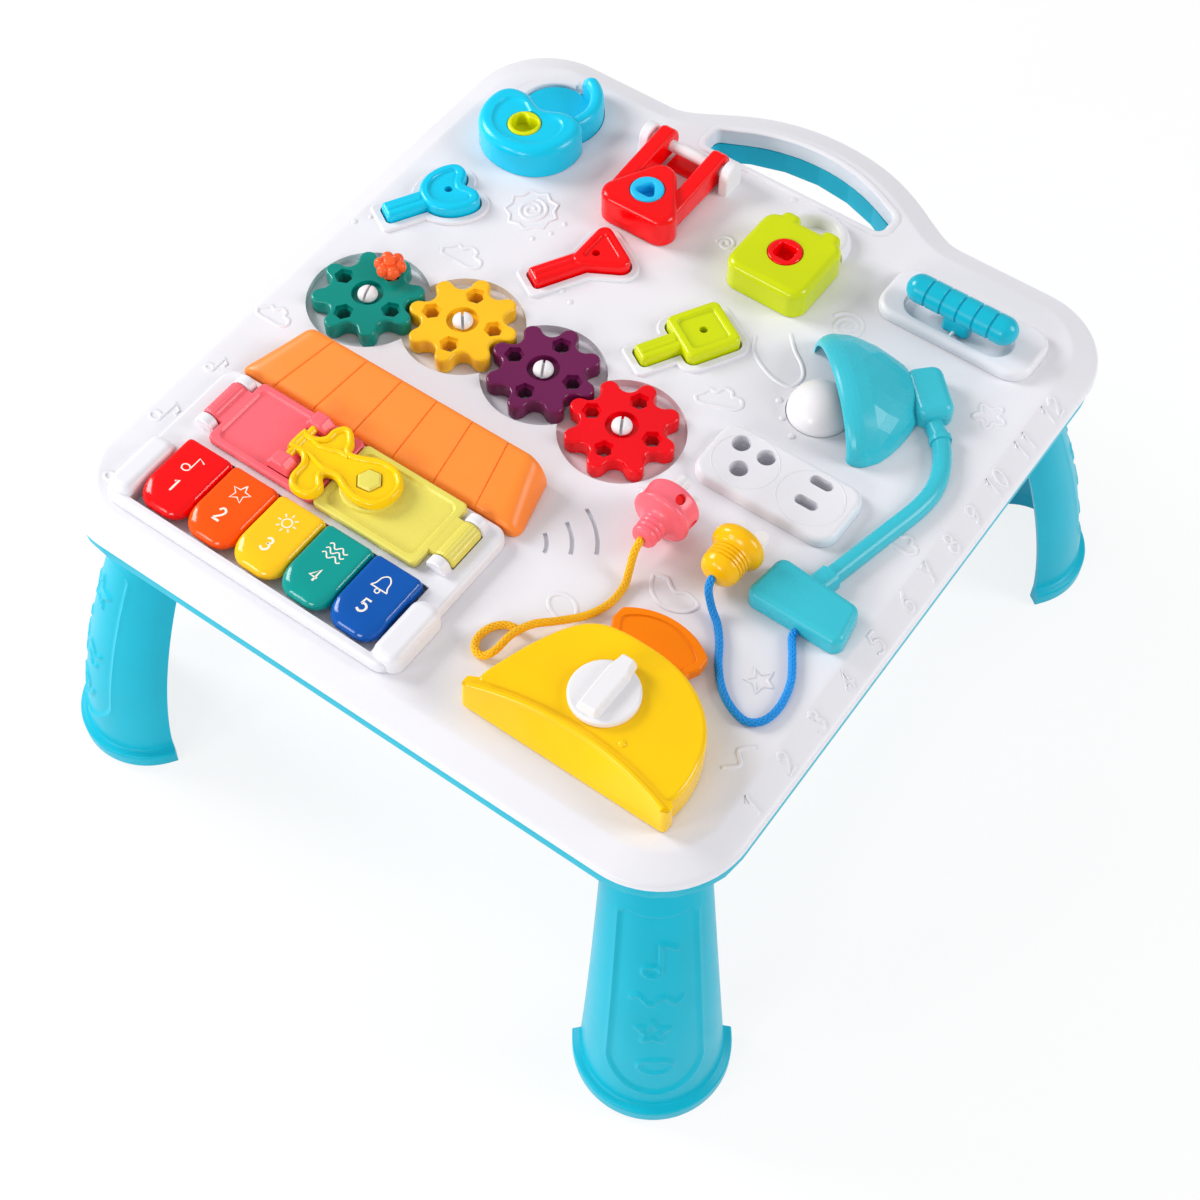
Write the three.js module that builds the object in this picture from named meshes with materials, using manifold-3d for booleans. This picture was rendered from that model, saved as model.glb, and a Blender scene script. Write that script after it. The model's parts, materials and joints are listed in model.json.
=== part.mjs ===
import * as THREE from 'three';
import { mergeVertices } from 'three/addons/utils/BufferGeometryUtils.js';
import Module from 'manifold-3d';

const wasm = await Module();
wasm.setup();

// Toddler activity table in millimetres. Deck surface is z = 0 inside the table group,
// x runs to the right, y from the front edge to the back

// Gaps: seated, sliding, turning, and how far a cutting tool runs past a face
const gap = { seat: 0.3, slip: 0.4, turn: 0.5, past: 1, weld: 0.0005 };

// White moulded top
const board = {
  deckHeight: 210, width: 400, depth: 418, corner: 48, bulgeHalf: 96, bulgeRise: 33,
  rim: 15, rimDrop: 5.5, edge: 1.2, skirtDepth: 10, wall: 2.6,
};
const bulgeShares = { foot: 0.21, crown: 0.58 };

// Carry handle opening, its depths counted from the back edge
const slot = { left: -61, right: 57, within: 21, shoulder: 7, beyond: 12, corner: 5, collar: 2.2 };

// Tray that closes the top from below, side posts as distance from the side and place along it
const tray = {
  depth: 24, inset: 1.2, wall: 2.4, edge: 4, postRadius: 4,
  leftPosts: [[22, 92], [21.5, 243]], rightPosts: [[22, 110], [23, 310]], middlePosts: [[32, 75], [2, 345]],
};

// Leg shells, outward is local +x
const leg = {
  angle: 53.6, fromSide: 22.2, fromEnd: 13.1, footRadius: 42.1, footHeight: 9.5, footShoulder: 2,
  lowRadius: 37.4, highRadius: 23.7, lean: 42.5, lowReach: 5.1, highReach: 7.8, wall: 3,
  plug: 10, blockWall: 3, blockRoof: 1.6,
};
const legLeanPower = 1.6;
const legLevelShares = [0, 0.2, 0.42, 0.68, 1];
const legPanel = {
  top: -58, bottom: -186, topHalf: 18.5, bottomHalf: 25.5, topCorner: 5, bottomCorner: 22, depth: 1.3,
};

// Gear train in a scalloped well
const gear = {
  teeth: 8, tip: 30.3, root: 22, tipRound: 5, low: -4.5, high: 5, edge: 0.9,
  wellRadius: 33.5, wellDepth: 5, recessRadius: 8.7, recessDepth: 3, postRadius: 3.9,
  dimples: 4, dimpleRing: 17.8, holeFlat: 7.4,
  pinRadius: 5.6, pinRise: 1.9, pinSplit: 1.6,
};
const gearPlaces = [
  { colour: 'teal', at: [-140.8, 197], turn: -6.4 },
  { colour: 'yellow', at: [-88.1, 211.65], turn: 14.9 },
  { colour: 'purple', at: [-33.9, 210], turn: 4.2 },
  { colour: 'red', at: [20.65, 203.5], turn: 4.7 },
];
const flower = {
  petals: 6, radius: 9, petalDepth: 1.7, low: 9.5, high: 15.5, edge: 1.6, heart: 3.4, heartRise: 1,
  stemFlat: 6.2, stemLow: -3.6, collarFlat: 9, collarLow: 5.3,
};

// Piano corner with keys on hidden hinges
const piano = {
  left: -165, right: 16, front: 19, back: 116.6, height: 7, corner: 8, edge: 1.8,
  windowLeft: -149.6, windowRight: 4, windowFront: 23.4, windowBack: 67.9,
  cheekFront: 22, cheekBack: 60, cheekHeight: 12, cheekEdge: 3, cheekCorner: 6, cheekRight: 20,
  hingeY: 71, hingeZ: 3, barrelRadius: 2, tongueTop: 4.6, tongueLow: 1.6, lipUnder: 5.5, lipBack: 74.5,
};
const keyboard = {
  start: -133.4, pitch: 30.2, width: 29.6, front: 25, back: 67, low: 4, high: 12, edge: 3,
  frontCorner: 7, backCorner: 3.3, tongueWidth: 20,
};
const keyColours = { red: 0xf50a0a, orange: 0xff6a00, yellow: 0xffc81a, green: 0x009688, blue: 0x0a5aaa };

// Little double door with its hasp
const door = {
  front: 71.5, back: 115, low: 7.5, high: 12, corner: 3, edge: 0.8, rim: 3.5, panelDepth: 1.4,
  hingeZ: 8, barrelRadius: 6, barrelFront: 83, barrelBack: 106, knuckleLong: 6, knuckleGap: 0.5,
  leftHinge: -148.5, leftNear: -141, leftFar: -73.3, rightHinge: 0.5, rightNear: -8, rightFar: -72.7,
};
const ears = {
  x: -98, long: 14, across: 8.6, frontY: 80, backY: 109.4, high: 19, edge: 1.6, round: 2.4, pinZ: 15,
};
const stud = {
  at: [-54.7, 95.6], flat: 9.5, high: 17, chamfer: 1.2, bossRadius: 15.5, bossHigh: 12.6, bossEdge: 0.6,
};
const haspHoleGap = 1.6;
const hasp = { low: 13, high: 17, edge: 0.8, pinRadius: 2, pinGrip: 3, rimRadius: 10.2, rimRise: 0.9 };
const haspOutline = [
  [-101.5, 88.5], [-93, 88.5], [-89.3, 84], [-88.6, 76], [-85, 70.5], [-78, 69], [-71.5, 72],
  [-70.5, 79], [-76, 84.5], [-70, 87.5], [-62, 83.5], [-52, 82], [-42.5, 85], [-38.2, 93.5],
  [-39.5, 103], [-47, 109], [-57, 109.5], [-66.5, 105.5], [-73, 103.5], [-75.5, 109], [-81, 114.5],
  [-86, 114.5], [-89.5, 109.5], [-89.5, 104], [-94, 101], [-101.5, 101],
];

// Awning over the doors
const awning = {
  frontLeft: -162.5, frontRight: 19.5, backLeft: -146, backRight: 10, front: 117.2, back: 154,
  lip: 9.5, ridge: 20, lipRound: 3, backRound: 4, endDrop: 13, corner: 6, seams: 6, seamDepth: 0.7,
};

// Padlocks
const heartLock = {
  at: [-141.3, 337], halfWidth: 30.2, up: 21.8, down: 21.5, cleft: 16.4, high: 19, edge: 4.5,
  bowlDepth: 1.2,
};
const heartShares = {
  lowReach: 0.62, lowTurn: 0.42, sideRise: 0.3, sideTurn: 0.86, lobeTurn: 0.78, lobe: 0.52,
  cleftTurn: 0.3, cleftReach: 0.16,
};
const heartBowlShares = { half: 0.66, up: 0.6, down: 0.7, cleft: 0.5 };
const keyway = { radius: 9.4, rise: 0.9, depth: 12, edge: 0.8, boreRound: 1.5, squareHalf: 4.6 };
const heartBore = { half: 6.2, up: 5, down: 6.2, cleft: 3.1 };
const triangleBore = [[-5.2, -3.2], [5.2, -3.2], [0, 5.8]];
const shackle = {
  at: [-143.5, 368.5], outer: 28, inner: 20, discRadius: 20.3, horn: 15.5, disc: 1.6, from: -24, to: 82,
  travel: 40, spare: 2, arcInner: 21.4, arcFrom: 92, arcTo: 182, arcHigh: 3, edge: 1.6, arcEdge: 1.2,
  pocketDepth: 1.4,
};
const triangleLock = {
  corners: [[-84.5, 316.5], [-24, 317.5], [-57.5, 365.5]], round: 9, low: 0.4, high: 19, edge: 3,
  ringAt: [-55.7, 334.5],
  armLeft: -74, armRight: -40, armWide: 9.5, armFrom: 326, armHigh: 15, bossRadius: 8.6,
  axleY: 378, axleZ: 10, axleRadius: 3, axleLeft: -88, axleRight: -26, standWide: 6, standRadius: 7.5,
  trayLeft: -68, trayRight: -46.5, trayFront: 370, trayBack: 388, trayHigh: 1.4, trayCorner: 3,
};
const squareLock = {
  at: [29.5, 340.5], width: 49, depth: 48, round: 9, high: 18, edge: 3.5,
  earLeft: 18, earRight: 43, earY: 364.5, earWide: 12, earLong: 8, earRound: 4,
  archAt: [30.5, 370], archOuter: 20, archInner: 12, archHigh: 7, archEdge: 2, archFrom: -6, archTo: 186,
};

// Toy keys lying in framed beds
const toyKey = {
  turn: 240, low: -2.6, high: 8, edge: 1.6, shaftWide: 12, shaftLong: 38, shaftRound: 3, hole: 2.4,
  inlay: 3.2, inlayDepth: 1.2, bedDepth: 3, bedGap: 1, frame: 4, frameRise: 1.6, frameEdge: 0.8,
  bedFloor: 2.4, bedWallHalf: 22.5,
};
const keyHeads = {
  heart: { at: [-152, 281], half: 17.5, up: 14, down: 16, cleft: 9.5 },
  triangle: { at: [-58, 290], corners: [[-15, 19.5], [-15, -19.5], [18.5, 0]], round: 5 },
  square: {
    at: [19.5, 279], corners: [[-15.5, 15.5], [-15.5, -15.5], [15.5, -15.5], [15.5, 15.5]], round: 4,
  },
};

// See-saw handle
const rocker = {
  left: 81, right: 172, front: 346, back: 384, high: 6, corner: 12, edge: 2, wellLong: 62, wellWide: 19,
  wellDepth: 4.6, handleAt: [125.8, 361.3], axisZ: 17, radius: 7.9, long: 65, grooves: 5, grooveDepth: 0.7,
  grooveWide: 1.6, stemWide: 13, stemDeep: 6, stemLow: 3.2, pivotZ: 4, pinRadius: 2, pinLong: 4,
};

// Desk lamp relief with a push button bulb
const lamp = {
  mouthAt: [98, 279], turn: 45, squash: 0.66, wall: 2.4, facets: 14,
  capFrom: 43, capTo: 60, capLeft: 9.5, capRight: 22.3, capHigh: 13, capCorner: 5, capEdge: 2.5,
  armWide: 9.4, armHigh: 7.5, armTop: 3.4, collarLong: 11, collarGrow: 1.6,
  baseHigh: 11, baseEdge: 3, baseCorner: 5,
};
const armCrownShare = 0.55;
const shadeProfile = [[0, 37.5], [6, 41.5], [14, 41], [24, 35.5], [33, 28], [42, 18.5]];
const armPath = [
  [148.5, 297.5], [157, 290], [165.5, 276], [169.3, 262], [168.6, 247], [163.5, 224], [152.9, 177.2],
];
const lampBaseCorners = [[128, 152.5], [182.5, 152], [178.5, 177], [131.5, 181]];
const bulb = {
  at: [95.5, 273], radius: 17, rise: 15.5, flange: 19.5, flangeTop: -3.1, flangeLow: -5, press: 2.5,
};

// Socket plate and the two plugs
const socket = {
  left: 63.5, right: 146, front: 199.5, back: 239, high: 6.5, corner: 9, edge: 2,
  roundHole: 5, roundPlaces: [[77, 228], [92.1, 227.8], [84.6, 214.1]],
  flatLong: 13, flatWide: 6, flatPlaces: [[123.1, 230.4], [123.1, 216]],
};
const pinPlug = {
  at: [73.6, 145.2], z: 15.6, prongRadius: 4, prongLong: 8.5, prongRing: 8, prongBack: 3,
};
const pinPlugProfile = [
  [0, 0], [5.4, 0], [6.4, 3.6], [5.2, 5], [6.8, 6.6], [5.8, 8], [7.4, 9.6], [9, 12.5],
  [15.2, 14], [15.2, 16.5], [13.8, 17.5], [14.8, 27], [13.6, 29], [0, 29],
];
const bladePlug = {
  at: [113.4, 147.5], z: 14.3, bladeWide: 8, bladeThick: 3.2, bladeLong: 9.5, bladeSpread: 6.6,
  bladeBack: 3,
};
const bladePlugProfile = [
  [0, 0], [5, 0.6], [9, 3], [10.4, 7], [9.7, 9], [10.4, 11], [9.7, 13], [10.4, 15], [10, 16.8],
  [13.2, 18.8], [13.8, 22], [12.6, 25.4], [0, 26.8],
];

// Braided cords, points at the cord centre line
const cord = { radius: 2, sides: 8, yellowSteps: 24, blueSteps: 20 };
const yellowCordPoints = [
  [73.6, 144.9, 15.6], [73.6, 143.4, 15.6], [73.9, 138.4, 12], [75.6, 132, 5.4], [77.6, 125, 2.5],
  [77.5, 113, 2.4], [72.4, 101, 2.6], [64.2, 89.8, 4.6], [56.3, 80.8, 6], [51.6, 70.5, 6], [50, 59.6, 4.6],
  [46.5, 54.8, 2.6], [41.5, 55, 2.4], [38.2, 60.6, 2.4], [39.4, 68.6, 2.4], [44.6, 74.6, 2.4],
  [52.8, 76.2, 2.4],
];
const blueCordPoints = [
  [113.4, 147.2, 14.3], [113.4, 145.7, 14.3], [114.8, 142, 11.4], [119.2, 138.6, 5], [126.1, 133.5, 2.5],
  [132.6, 125.4, 2.4], [139.6, 114.3, 2.4], [147.8, 105.2, 2.4], [156.5, 99.6, 2.4], [166, 97.4, 2.4],
  [172.6, 102.4, 2.4], [174.6, 113, 2.4], [171.7, 126.9, 2.4], [164.4, 139.7, 2.4], [159.2, 147.4, 2.5],
  [158.4, 150.2, 2.6], [158.4, 151.8, 2.6],
];

// Toaster with sliding toast and timer knob
const toaster = {
  corners: [
    [56, 33], [58, 76], [80.5, 96.5], [108, 100.5], [134, 98.5], [157.5, 80.5], [166.5, 57], [165, 33],
  ],
  round: 12, high: 17.8, edge: 5,
  apronLeft: 53, apronRight: 168, apronFront: 28.5, apronLow: 3, apronSide: 5, apronBow: 14,
  ridgeRise: 10.7, ridgeWide: 2.2, ridgeHigh: 19.4, ridgeEdge: 0.5,
  mouthLow: 2.9, mouthHigh: 9.4, mouthEnd: 60.5, dotAt: [131.5, 47.5], dotRadius: 2, dotRise: 0.8,
};
const toast = {
  low: 3.3, high: 8.9, neckHalf: 21.5, crownHalf: 25.2, from: 81, neckTo: 100, crownFrom: 106, crownTop: 121,
  x: 110.3, round: 2.4, crownRound: 14, shoulder: 3, edge: 1.2, inlay: 3.4, inlayDepth: 0.8,
};
const toastFlatShare = 0.6;
const timer = {
  at: [110.4, 63.3], radius: 17.3, low: 18.1, high: 21.6, edge: 1.2, barWide: 10.5, barFront: 14.5,
  barBack: 20.5, barHigh: 26.4, barEdge: 1.5, barRound: 3, spindle: 3, spindleLow: 11.4,
};

// Sound slots, speaker, circuit board and batteries inside the tray
const speaker = {
  at: [40, 141], radius: 22, magnet: 12, high: -3.1, rimLow: -6.4, low: -13.5, slotWide: 2.2,
  slotCentre: [18, 116], slotRadii: [16, 28.5, 41], slotFrom: [14, 22, 26], slotTo: [58, 62, 66],
};
const circuit = {
  left: -120, right: -30, front: 22, back: 62, high: -8, low: -9.6, corner: 2, postRadius: 3,
  chip: 11, chipHigh: 2, inset: 6,
};
const battery = {
  radius: 7.1, long: 48.5, tipRadius: 2.6, tipLong: 1.8, count: 3, pitch: 16, at: [108, 78],
  boxWall: 2, doorThick: 2, doorLip: 2.4, boxGap: 1.6,
};

const deg = Math.PI / 180;
const point = (x, y) => new THREE.Vector2(x, y);

// Points along a circular arc, angles in degrees
function arc(x, y, radius, from, to, steps) {
  return Array.from({ length: steps + 1 }, (_, i) => {
    const angle = (from + ((to - from) * i) / steps) * deg;
    return point(x + radius * Math.cos(angle), y + radius * Math.sin(angle));
  });
}

// Outline running counterclockwise
function facing(outline) {
  return THREE.ShapeUtils.isClockWise(outline) ? outline.slice().reverse() : outline;
}

// Closed outline without repeated points
function ring(...runs) {
  const points = runs.flat();
  return points.filter((p, i) => p.distanceTo(points[(i + 1) % points.length]) > gap.weld);
}

const circle = (x, y, radius, count, turn = 0) => ring(arc(x, y, radius, turn, turn + 360, count));
const polygon = (x, y, flat, turn = 0) => circle(x, y, flat / Math.sqrt(3), 6, turn);

// Outline through corners, each one eased by a tangent arc
function rounded(corners, radius, steps = 2) {
  const points = corners.map(([x, y]) => point(x, y));
  const runs = points.map((corner, i) => {
    const before = points[(i + points.length - 1) % points.length].clone().sub(corner);
    const after = points[(i + 1) % points.length].clone().sub(corner);
    const half = Math.acos(before.dot(after) / (before.length() * after.length())) / 2;
    const limit = Math.min(before.length(), after.length()) / 2 - gap.weld;
    const reach = Math.min((corners[i][2] ?? radius) / Math.tan(half), limit);
    const start = corner.clone().addScaledVector(before.normalize(), reach);
    const end = corner.clone().addScaledVector(after.normalize(), reach);
    const middle = before.add(after).normalize();
    const centre = corner.clone().addScaledVector(middle, reach / Math.cos(half));
    const from = Math.atan2(start.y - centre.y, start.x - centre.x) / deg;
    const to = Math.atan2(end.y - centre.y, end.x - centre.x) / deg;
    const sweep = ((to - from + 540) % 360) - 180;
    return arc(centre.x, centre.y, start.distanceTo(centre), from, from + sweep, steps);
  });
  return facing(ring(...runs));
}

const rectangle = (left, front, right, back, round, steps = 2) =>
  rounded([[left, front], [right, front], [right, back], [left, back]], round, steps);

// Outline moved inward by a distance, outward when negative
function inset(outline, distance) {
  const count = outline.length;
  return outline.map((p, i) => {
    const before = p.clone().sub(outline[(i + count - 1) % count]).normalize();
    const after = outline[(i + 1) % count].clone().sub(p).normalize();
    const reach = distance / (1 + before.dot(after));
    return point(p.x - (before.y + after.y) * reach, p.y + (before.x + after.x) * reach);
  });
}

// Solid through outlines of equal point count at rising levels
function loft(layers) {
  const count = layers[0][0].length;
  const positions = layers.flatMap(([outline, z]) => outline.flatMap((p) => [p.x, p.y, z]));
  const faces = [];
  for (let level = 0; level < layers.length - 1; level++) {
    for (let i = 0; i < count; i++) {
      const a = level * count + i;
      const b = level * count + ((i + 1) % count);
      faces.push(a, b, b + count, a, b + count, a + count);
    }
  }
  const top = (layers.length - 1) * count;
  THREE.ShapeUtils.triangulateShape(layers[0][0], []).forEach(([a, b, c]) => faces.push(c, b, a));
  THREE.ShapeUtils.triangulateShape(layers[layers.length - 1][0], [])
    .forEach(([a, b, c]) => faces.push(top + a, top + b, top + c));
  const geometry = new THREE.BufferGeometry();
  geometry.setAttribute('position', new THREE.Float32BufferAttribute(positions, 3));
  geometry.setIndex(faces);
  return geometry;
}

// Flat piece with eased upper and lower edges
function slab(outline, low, high, upperEdge = 0, lowerEdge = 0, steps = 2) {
  const layers = [];
  const ease = (edge, level, sign) => {
    const curve = Array.from({ length: steps + 1 }, (_, i) => ((90 * i) / steps) * deg);
    const run = curve.map((angle) => [
      inset(outline, edge * (1 - Math.cos(angle))), level - sign * edge * (1 - Math.sin(angle)),
    ]);
    layers.push(...(sign > 0 ? run : run.reverse()));
  };
  if (lowerEdge > 0) ease(lowerEdge, low, -1);
  else layers.push([outline, low]);
  if (upperEdge > 0) ease(upperEdge, high, 1);
  else layers.push([outline, high]);
  return loft(layers);
}

// Turned piece about Z from [radius, z] pairs that start and end on the axis
function turned(profile, count) {
  const lathe = new THREE.LatheGeometry(profile.map(([radius, z]) => point(radius, z)), count);
  return lathe.rotateX(Math.PI / 2);
}

// Cylinder along X or Y about a centre
function rod(axis, centre, radius, long, count) {
  const geometry = new THREE.CylinderGeometry(radius, radius, long, count);
  if (axis === 'x') geometry.rotateZ(Math.PI / 2);
  return geometry.translate(...centre);
}

// Box given by its limits
function block(x, y, z) {
  const geometry = new THREE.BoxGeometry(x[1] - x[0], y[1] - y[0], z[1] - z[0]);
  return geometry.translate((x[0] + x[1]) / 2, (y[0] + y[1]) / 2, (z[0] + z[1]) / 2);
}

// Closed geometry as a solid for adding and cutting
function solidOf(shape) {
  if (!shape.isBufferGeometry) return shape;
  const bare = shape.clone();
  bare.deleteAttribute('normal');
  bare.deleteAttribute('uv');
  const merged = mergeVertices(bare, gap.weld);
  const index = Array.from(merged.index.array);
  const place = new THREE.Vector3();
  const corners = [new THREE.Vector3(), new THREE.Vector3(), new THREE.Vector3()];
  const faces = [];
  let volume = 0;
  for (let i = 0; i < index.length; i += 3) {
    const face = index.slice(i, i + 3);
    if (new Set(face).size < 3) continue;
    face.forEach((vertex, k) => corners[k].fromBufferAttribute(merged.attributes.position, vertex));
    volume += corners[0].dot(place.crossVectors(corners[1], corners[2]));
    faces.push(face);
  }
  const facing = volume < 0 ? faces.map((face) => face.reverse()) : faces;
  return new wasm.Manifold(new wasm.Mesh({
    numProp: 3,
    vertProperties: Float32Array.from(merged.attributes.position.array),
    triVerts: Uint32Array.from(facing.flat()),
  }));
}

const join = (...shapes) => wasm.Manifold.union(shapes.flat().map(solidOf));
const cut = (body, ...tools) => wasm.Manifold.difference([body, ...tools.flat()].map(solidOf));
const common = (...shapes) => wasm.Manifold.intersection(shapes.map(solidOf));

// Root group and the table group whose origin lies on the deck plane
const root = new THREE.Group();
root.name = 'musical_activity_table';
const table = new THREE.Group();
table.name = 'table';
const backReach = board.depth + board.bulgeRise;
const footReach = leg.footRadius - leg.fromEnd;
table.position.set(0, (footReach - backReach) / 2, board.deckHeight);
root.add(table);

// Named mesh in the group, moved and turned about Z when a place is given
function part(name, shape, colour, { at = [0, 0], z = 0, turn = 0, roughness = 0.34 } = {}) {
  const mesh3 = solidOf(shape).getMesh();
  const geometry = new THREE.BufferGeometry();
  geometry.setAttribute('position', new THREE.Float32BufferAttribute(Array.from(mesh3.vertProperties), 3));
  geometry.setIndex(Array.from(mesh3.triVerts));
  const material = new THREE.MeshStandardMaterial({ color: colour, roughness, metalness: 0 });
  const mesh = new THREE.Mesh(geometry, material);
  mesh.name = name;
  mesh.position.set(at[0], at[1], z);
  mesh.rotation.set(0, 0, turn * deg);
  table.add(mesh);
  return mesh;
}

const colours = {
  white: 0xe8e7ee, teal: 0x00bcd4, awning: 0xff9646, pink: 0xff6e82, lime: 0xe1e164, yellow: 0xffd700,
  gearTeal: 0x008f80, gearYellow: 0xffc81e, gearPurple: 0x732355, gearRed: 0xfa0019, orange: 0xff7a10,
  heart: 0x00beeb, ringYellow: 0xe6e600, red: 0xfa0000, skyBlue: 0x28c8fa, green: 0xc8dc00,
  lamp: 0x3cc3d2, handle: 0x1eb4c8, toaster: 0xffcd00, toast: 0xff8200, cordYellow: 0xffc314,
  cordBlue: 0x1496e6, board: 0x1f6b3a, steel: 0xb4b4ba, battery: 0x3a3a40,
};

// Outline of the board with its bulge at the back
function boardOutline() {
  const half = board.width / 2;
  const round = board.corner;
  const peak = board.depth + board.bulgeRise;
  const wide = board.bulgeHalf;
  const bulge = new THREE.CubicBezierCurve(
    point(wide, board.depth), point(wide * (1 - bulgeShares.foot), board.depth),
    point(wide * bulgeShares.crown, peak), point(0, peak),
  ).getPoints(7);
  return ring(
    arc(half - round, round, round, -90, 0, 6),
    arc(half - round, board.depth - round, round, 0, 90, 6),
    bulge,
    bulge.map((p) => point(-p.x, p.y)).reverse(),
    arc(round - half, board.depth - round, round, 90, 180, 6),
    arc(round - half, round, round, 180, 270, 6),
  );
}

// Carry handle opening that follows the bulge
function slotOutline() {
  const half = (slot.right - slot.left) / 2;
  const centre = (slot.right + slot.left) / 2;
  const far = board.depth + slot.beyond;
  const near = board.depth - slot.within;
  const shoulder = board.depth - slot.shoulder;
  const rise = far - shoulder;
  const radius = (half * half + rise * rise) / (2 * rise);
  const sweep = Math.asin(half / radius) / deg;
  const crown = arc(centre, far - radius, radius, 90 - sweep, 90 + sweep, 6);
  const sharp = crown.slice(1, -1).map((p) => [p.x, p.y, slot.collar]);
  return rounded([
    [slot.left, near], [slot.right, near], [slot.right, shoulder], ...sharp, [slot.left, shoulder],
  ], slot.corner, 2);
}

// Heart outline pointing to -y about a centre
function heartOutline(x, y, half, up, down, cleft, steps) {
  const shares = heartShares;
  const side = point(half, up * shares.sideRise);
  const lobe = point(half * shares.lobe, up);
  const right = [
    ...new THREE.CubicBezierCurve(point(0, -down), point(half * shares.lowReach, -down),
      point(half, -down * shares.lowTurn), side).getPoints(steps),
    ...new THREE.CubicBezierCurve(side, point(half, up * shares.sideTurn), point(half * shares.lobeTurn, up),
      lobe).getPoints(steps - 1),
    ...new THREE.CubicBezierCurve(lobe, point(half * shares.cleftTurn, up),
      point(half * shares.cleftReach, cleft), point(0, cleft)).getPoints(steps - 2),
  ];
  const left = right.map((p) => point(-p.x, p.y)).reverse();
  return ring(right, left).map((p) => point(p.x + x, p.y + y));
}

// Teeth as tip arcs and valley arcs that touch each other
function gearOutline() {
  const half = 180 / gear.teeth;
  const tipCentre = gear.tip - gear.tipRound;
  const across = tipCentre * Math.cos(half * deg);
  const valley = (tipCentre ** 2 + gear.root ** 2 - 2 * gear.root * across - gear.tipRound ** 2)
    / (2 * (across - gear.root + gear.tipRound));
  const valleyCentre = gear.root + valley;
  const bottom = valleyCentre * Math.cos(half * deg);
  const side = valleyCentre * Math.sin(half * deg);
  const lean = Math.atan2(side, bottom - tipCentre) / deg;
  const runs = Array.from({ length: gear.teeth }, (_, i) => {
    const tip = arc(tipCentre, 0, gear.tipRound, -lean, lean, 3);
    const dip = arc(bottom, side, valley, lean + 180, 2 * half + 180 - lean, 3).slice(1, -1);
    const turn = (360 / gear.teeth) * i * deg;
    return [...tip, ...dip].map((p) => p.rotateAround(point(0, 0), turn));
  });
  return ring(...runs);
}

// Wave outline with petals
const petalOutline = (radius, depth, petals, steps) => Array.from({ length: petals * steps }, (_, i) => {
  const angle = (2 * Math.PI * i) / (petals * steps);
  const reach = radius - (depth * (1 - Math.cos(petals * angle))) / 2;
  return point(reach * Math.cos(angle), reach * Math.sin(angle));
});

// Curved band between two radii
const band = (x, y, inner, outer, from, to, steps) =>
  ring(arc(x, y, outer, from, to, steps), arc(x, y, inner, to, from, steps));

// Toy key head outlines in their own frame, the shaft leaves towards +x
function headOutline(kind) {
  const head = keyHeads[kind];
  if (kind !== 'heart') return rounded(head.corners, head.round, 3);
  return heartOutline(0, 0, head.half, head.up, head.down, head.cleft, 4)
    .map((p) => p.rotateAround(point(0, 0), Math.PI / 2));
}
const shaftOutline = (grow) => rectangle(0, -toyKey.shaftWide / 2 - grow, toyKey.shaftLong + grow,
  toyKey.shaftWide / 2 + grow, toyKey.shaftRound, 1);
const placed = (outline, [x, y], turn) =>
  outline.map((p) => p.clone().rotateAround(point(0, 0), turn * deg).add(point(x, y)));
const keyKinds = ['heart', 'triangle', 'square'];

// Union of head and shaft grown by a distance, between two levels, on the board
const keyShape = (kind, grow, low, high, edge = 0) => {
  const { at } = keyHeads[kind];
  const head = inset(headOutline(kind), -grow);
  return [
    slab(placed(head, at, toyKey.turn), low, high, edge, 0, 1),
    slab(placed(shaftOutline(grow), at, toyKey.turn), low, high, edge, 0, 1),
  ];
};

// White top shell: bevelled skin, wells and beds with walls below, posts and arches above
const rimLine = boardOutline();
const slotLine = slotOutline();
const skin = cut(
  loft([
    [rimLine, -board.skirtDepth], [rimLine, -board.rimDrop - board.edge],
    [inset(rimLine, board.edge), -board.rimDrop], [inset(rimLine, board.rim), 0],
  ]),
  loft([
    [inset(rimLine, board.wall), -board.skirtDepth - gap.past],
    [inset(rimLine, board.wall), -board.rimDrop - board.edge - board.wall],
    [inset(rimLine, board.rim), -board.wall],
  ]),
);
const wellWalls = gearPlaces.map(({ at }) =>
  slab(circle(...at, gear.wellRadius + board.wall, 14), -gear.wellDepth - board.wall, -board.wall / 2));
const bedWalls = keyKinds.map((kind) => {
  const reach = toyKey.bedWallHalf;
  const outline = rectangle(-reach, -reach, toyKey.shaftLong + toyKey.frame, reach, toyKey.frame, 1);
  const line = placed(outline, keyHeads[kind].at, toyKey.turn);
  return slab(line, -toyKey.bedDepth - toyKey.bedFloor, -board.wall / 2);
});
const bedFrames = keyKinds.map((kind) =>
  keyShape(kind, toyKey.bedGap + toyKey.frame, -board.wall / 2, toyKey.frameRise, toyKey.frameEdge));
const slotWall = slab(inset(slotLine, -slot.collar), -board.skirtDepth, -board.wall / 2);
const wells = gearPlaces.map(({ at }) => slab(circle(...at, gear.wellRadius, 24), -gear.wellDepth, gap.past));
const beds = keyKinds.map((kind) => keyShape(kind, toyKey.bedGap, -toyKey.bedDepth, toyKey.high));
const soundSlots = speaker.slotRadii.map((radius, i) => slab(
  band(...speaker.slotCentre, radius - speaker.slotWide / 2, radius + speaker.slotWide / 2,
    speaker.slotFrom[i], speaker.slotTo[i], 3),
  -board.wall - gap.past, gap.past,
));
const socketLines = [
  ...socket.roundPlaces.map((at) => circle(...at, socket.roundHole, 8)),
  ...socket.flatPlaces.map(([x, y]) => rectangle(x - socket.flatLong / 2, y - socket.flatWide / 2,
    x + socket.flatLong / 2, y + socket.flatWide / 2, socket.flatWide / 2)),
];
const underSockets = socketLines.map((outline) => slab(outline, -board.wall - gap.past, gap.past));
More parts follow.
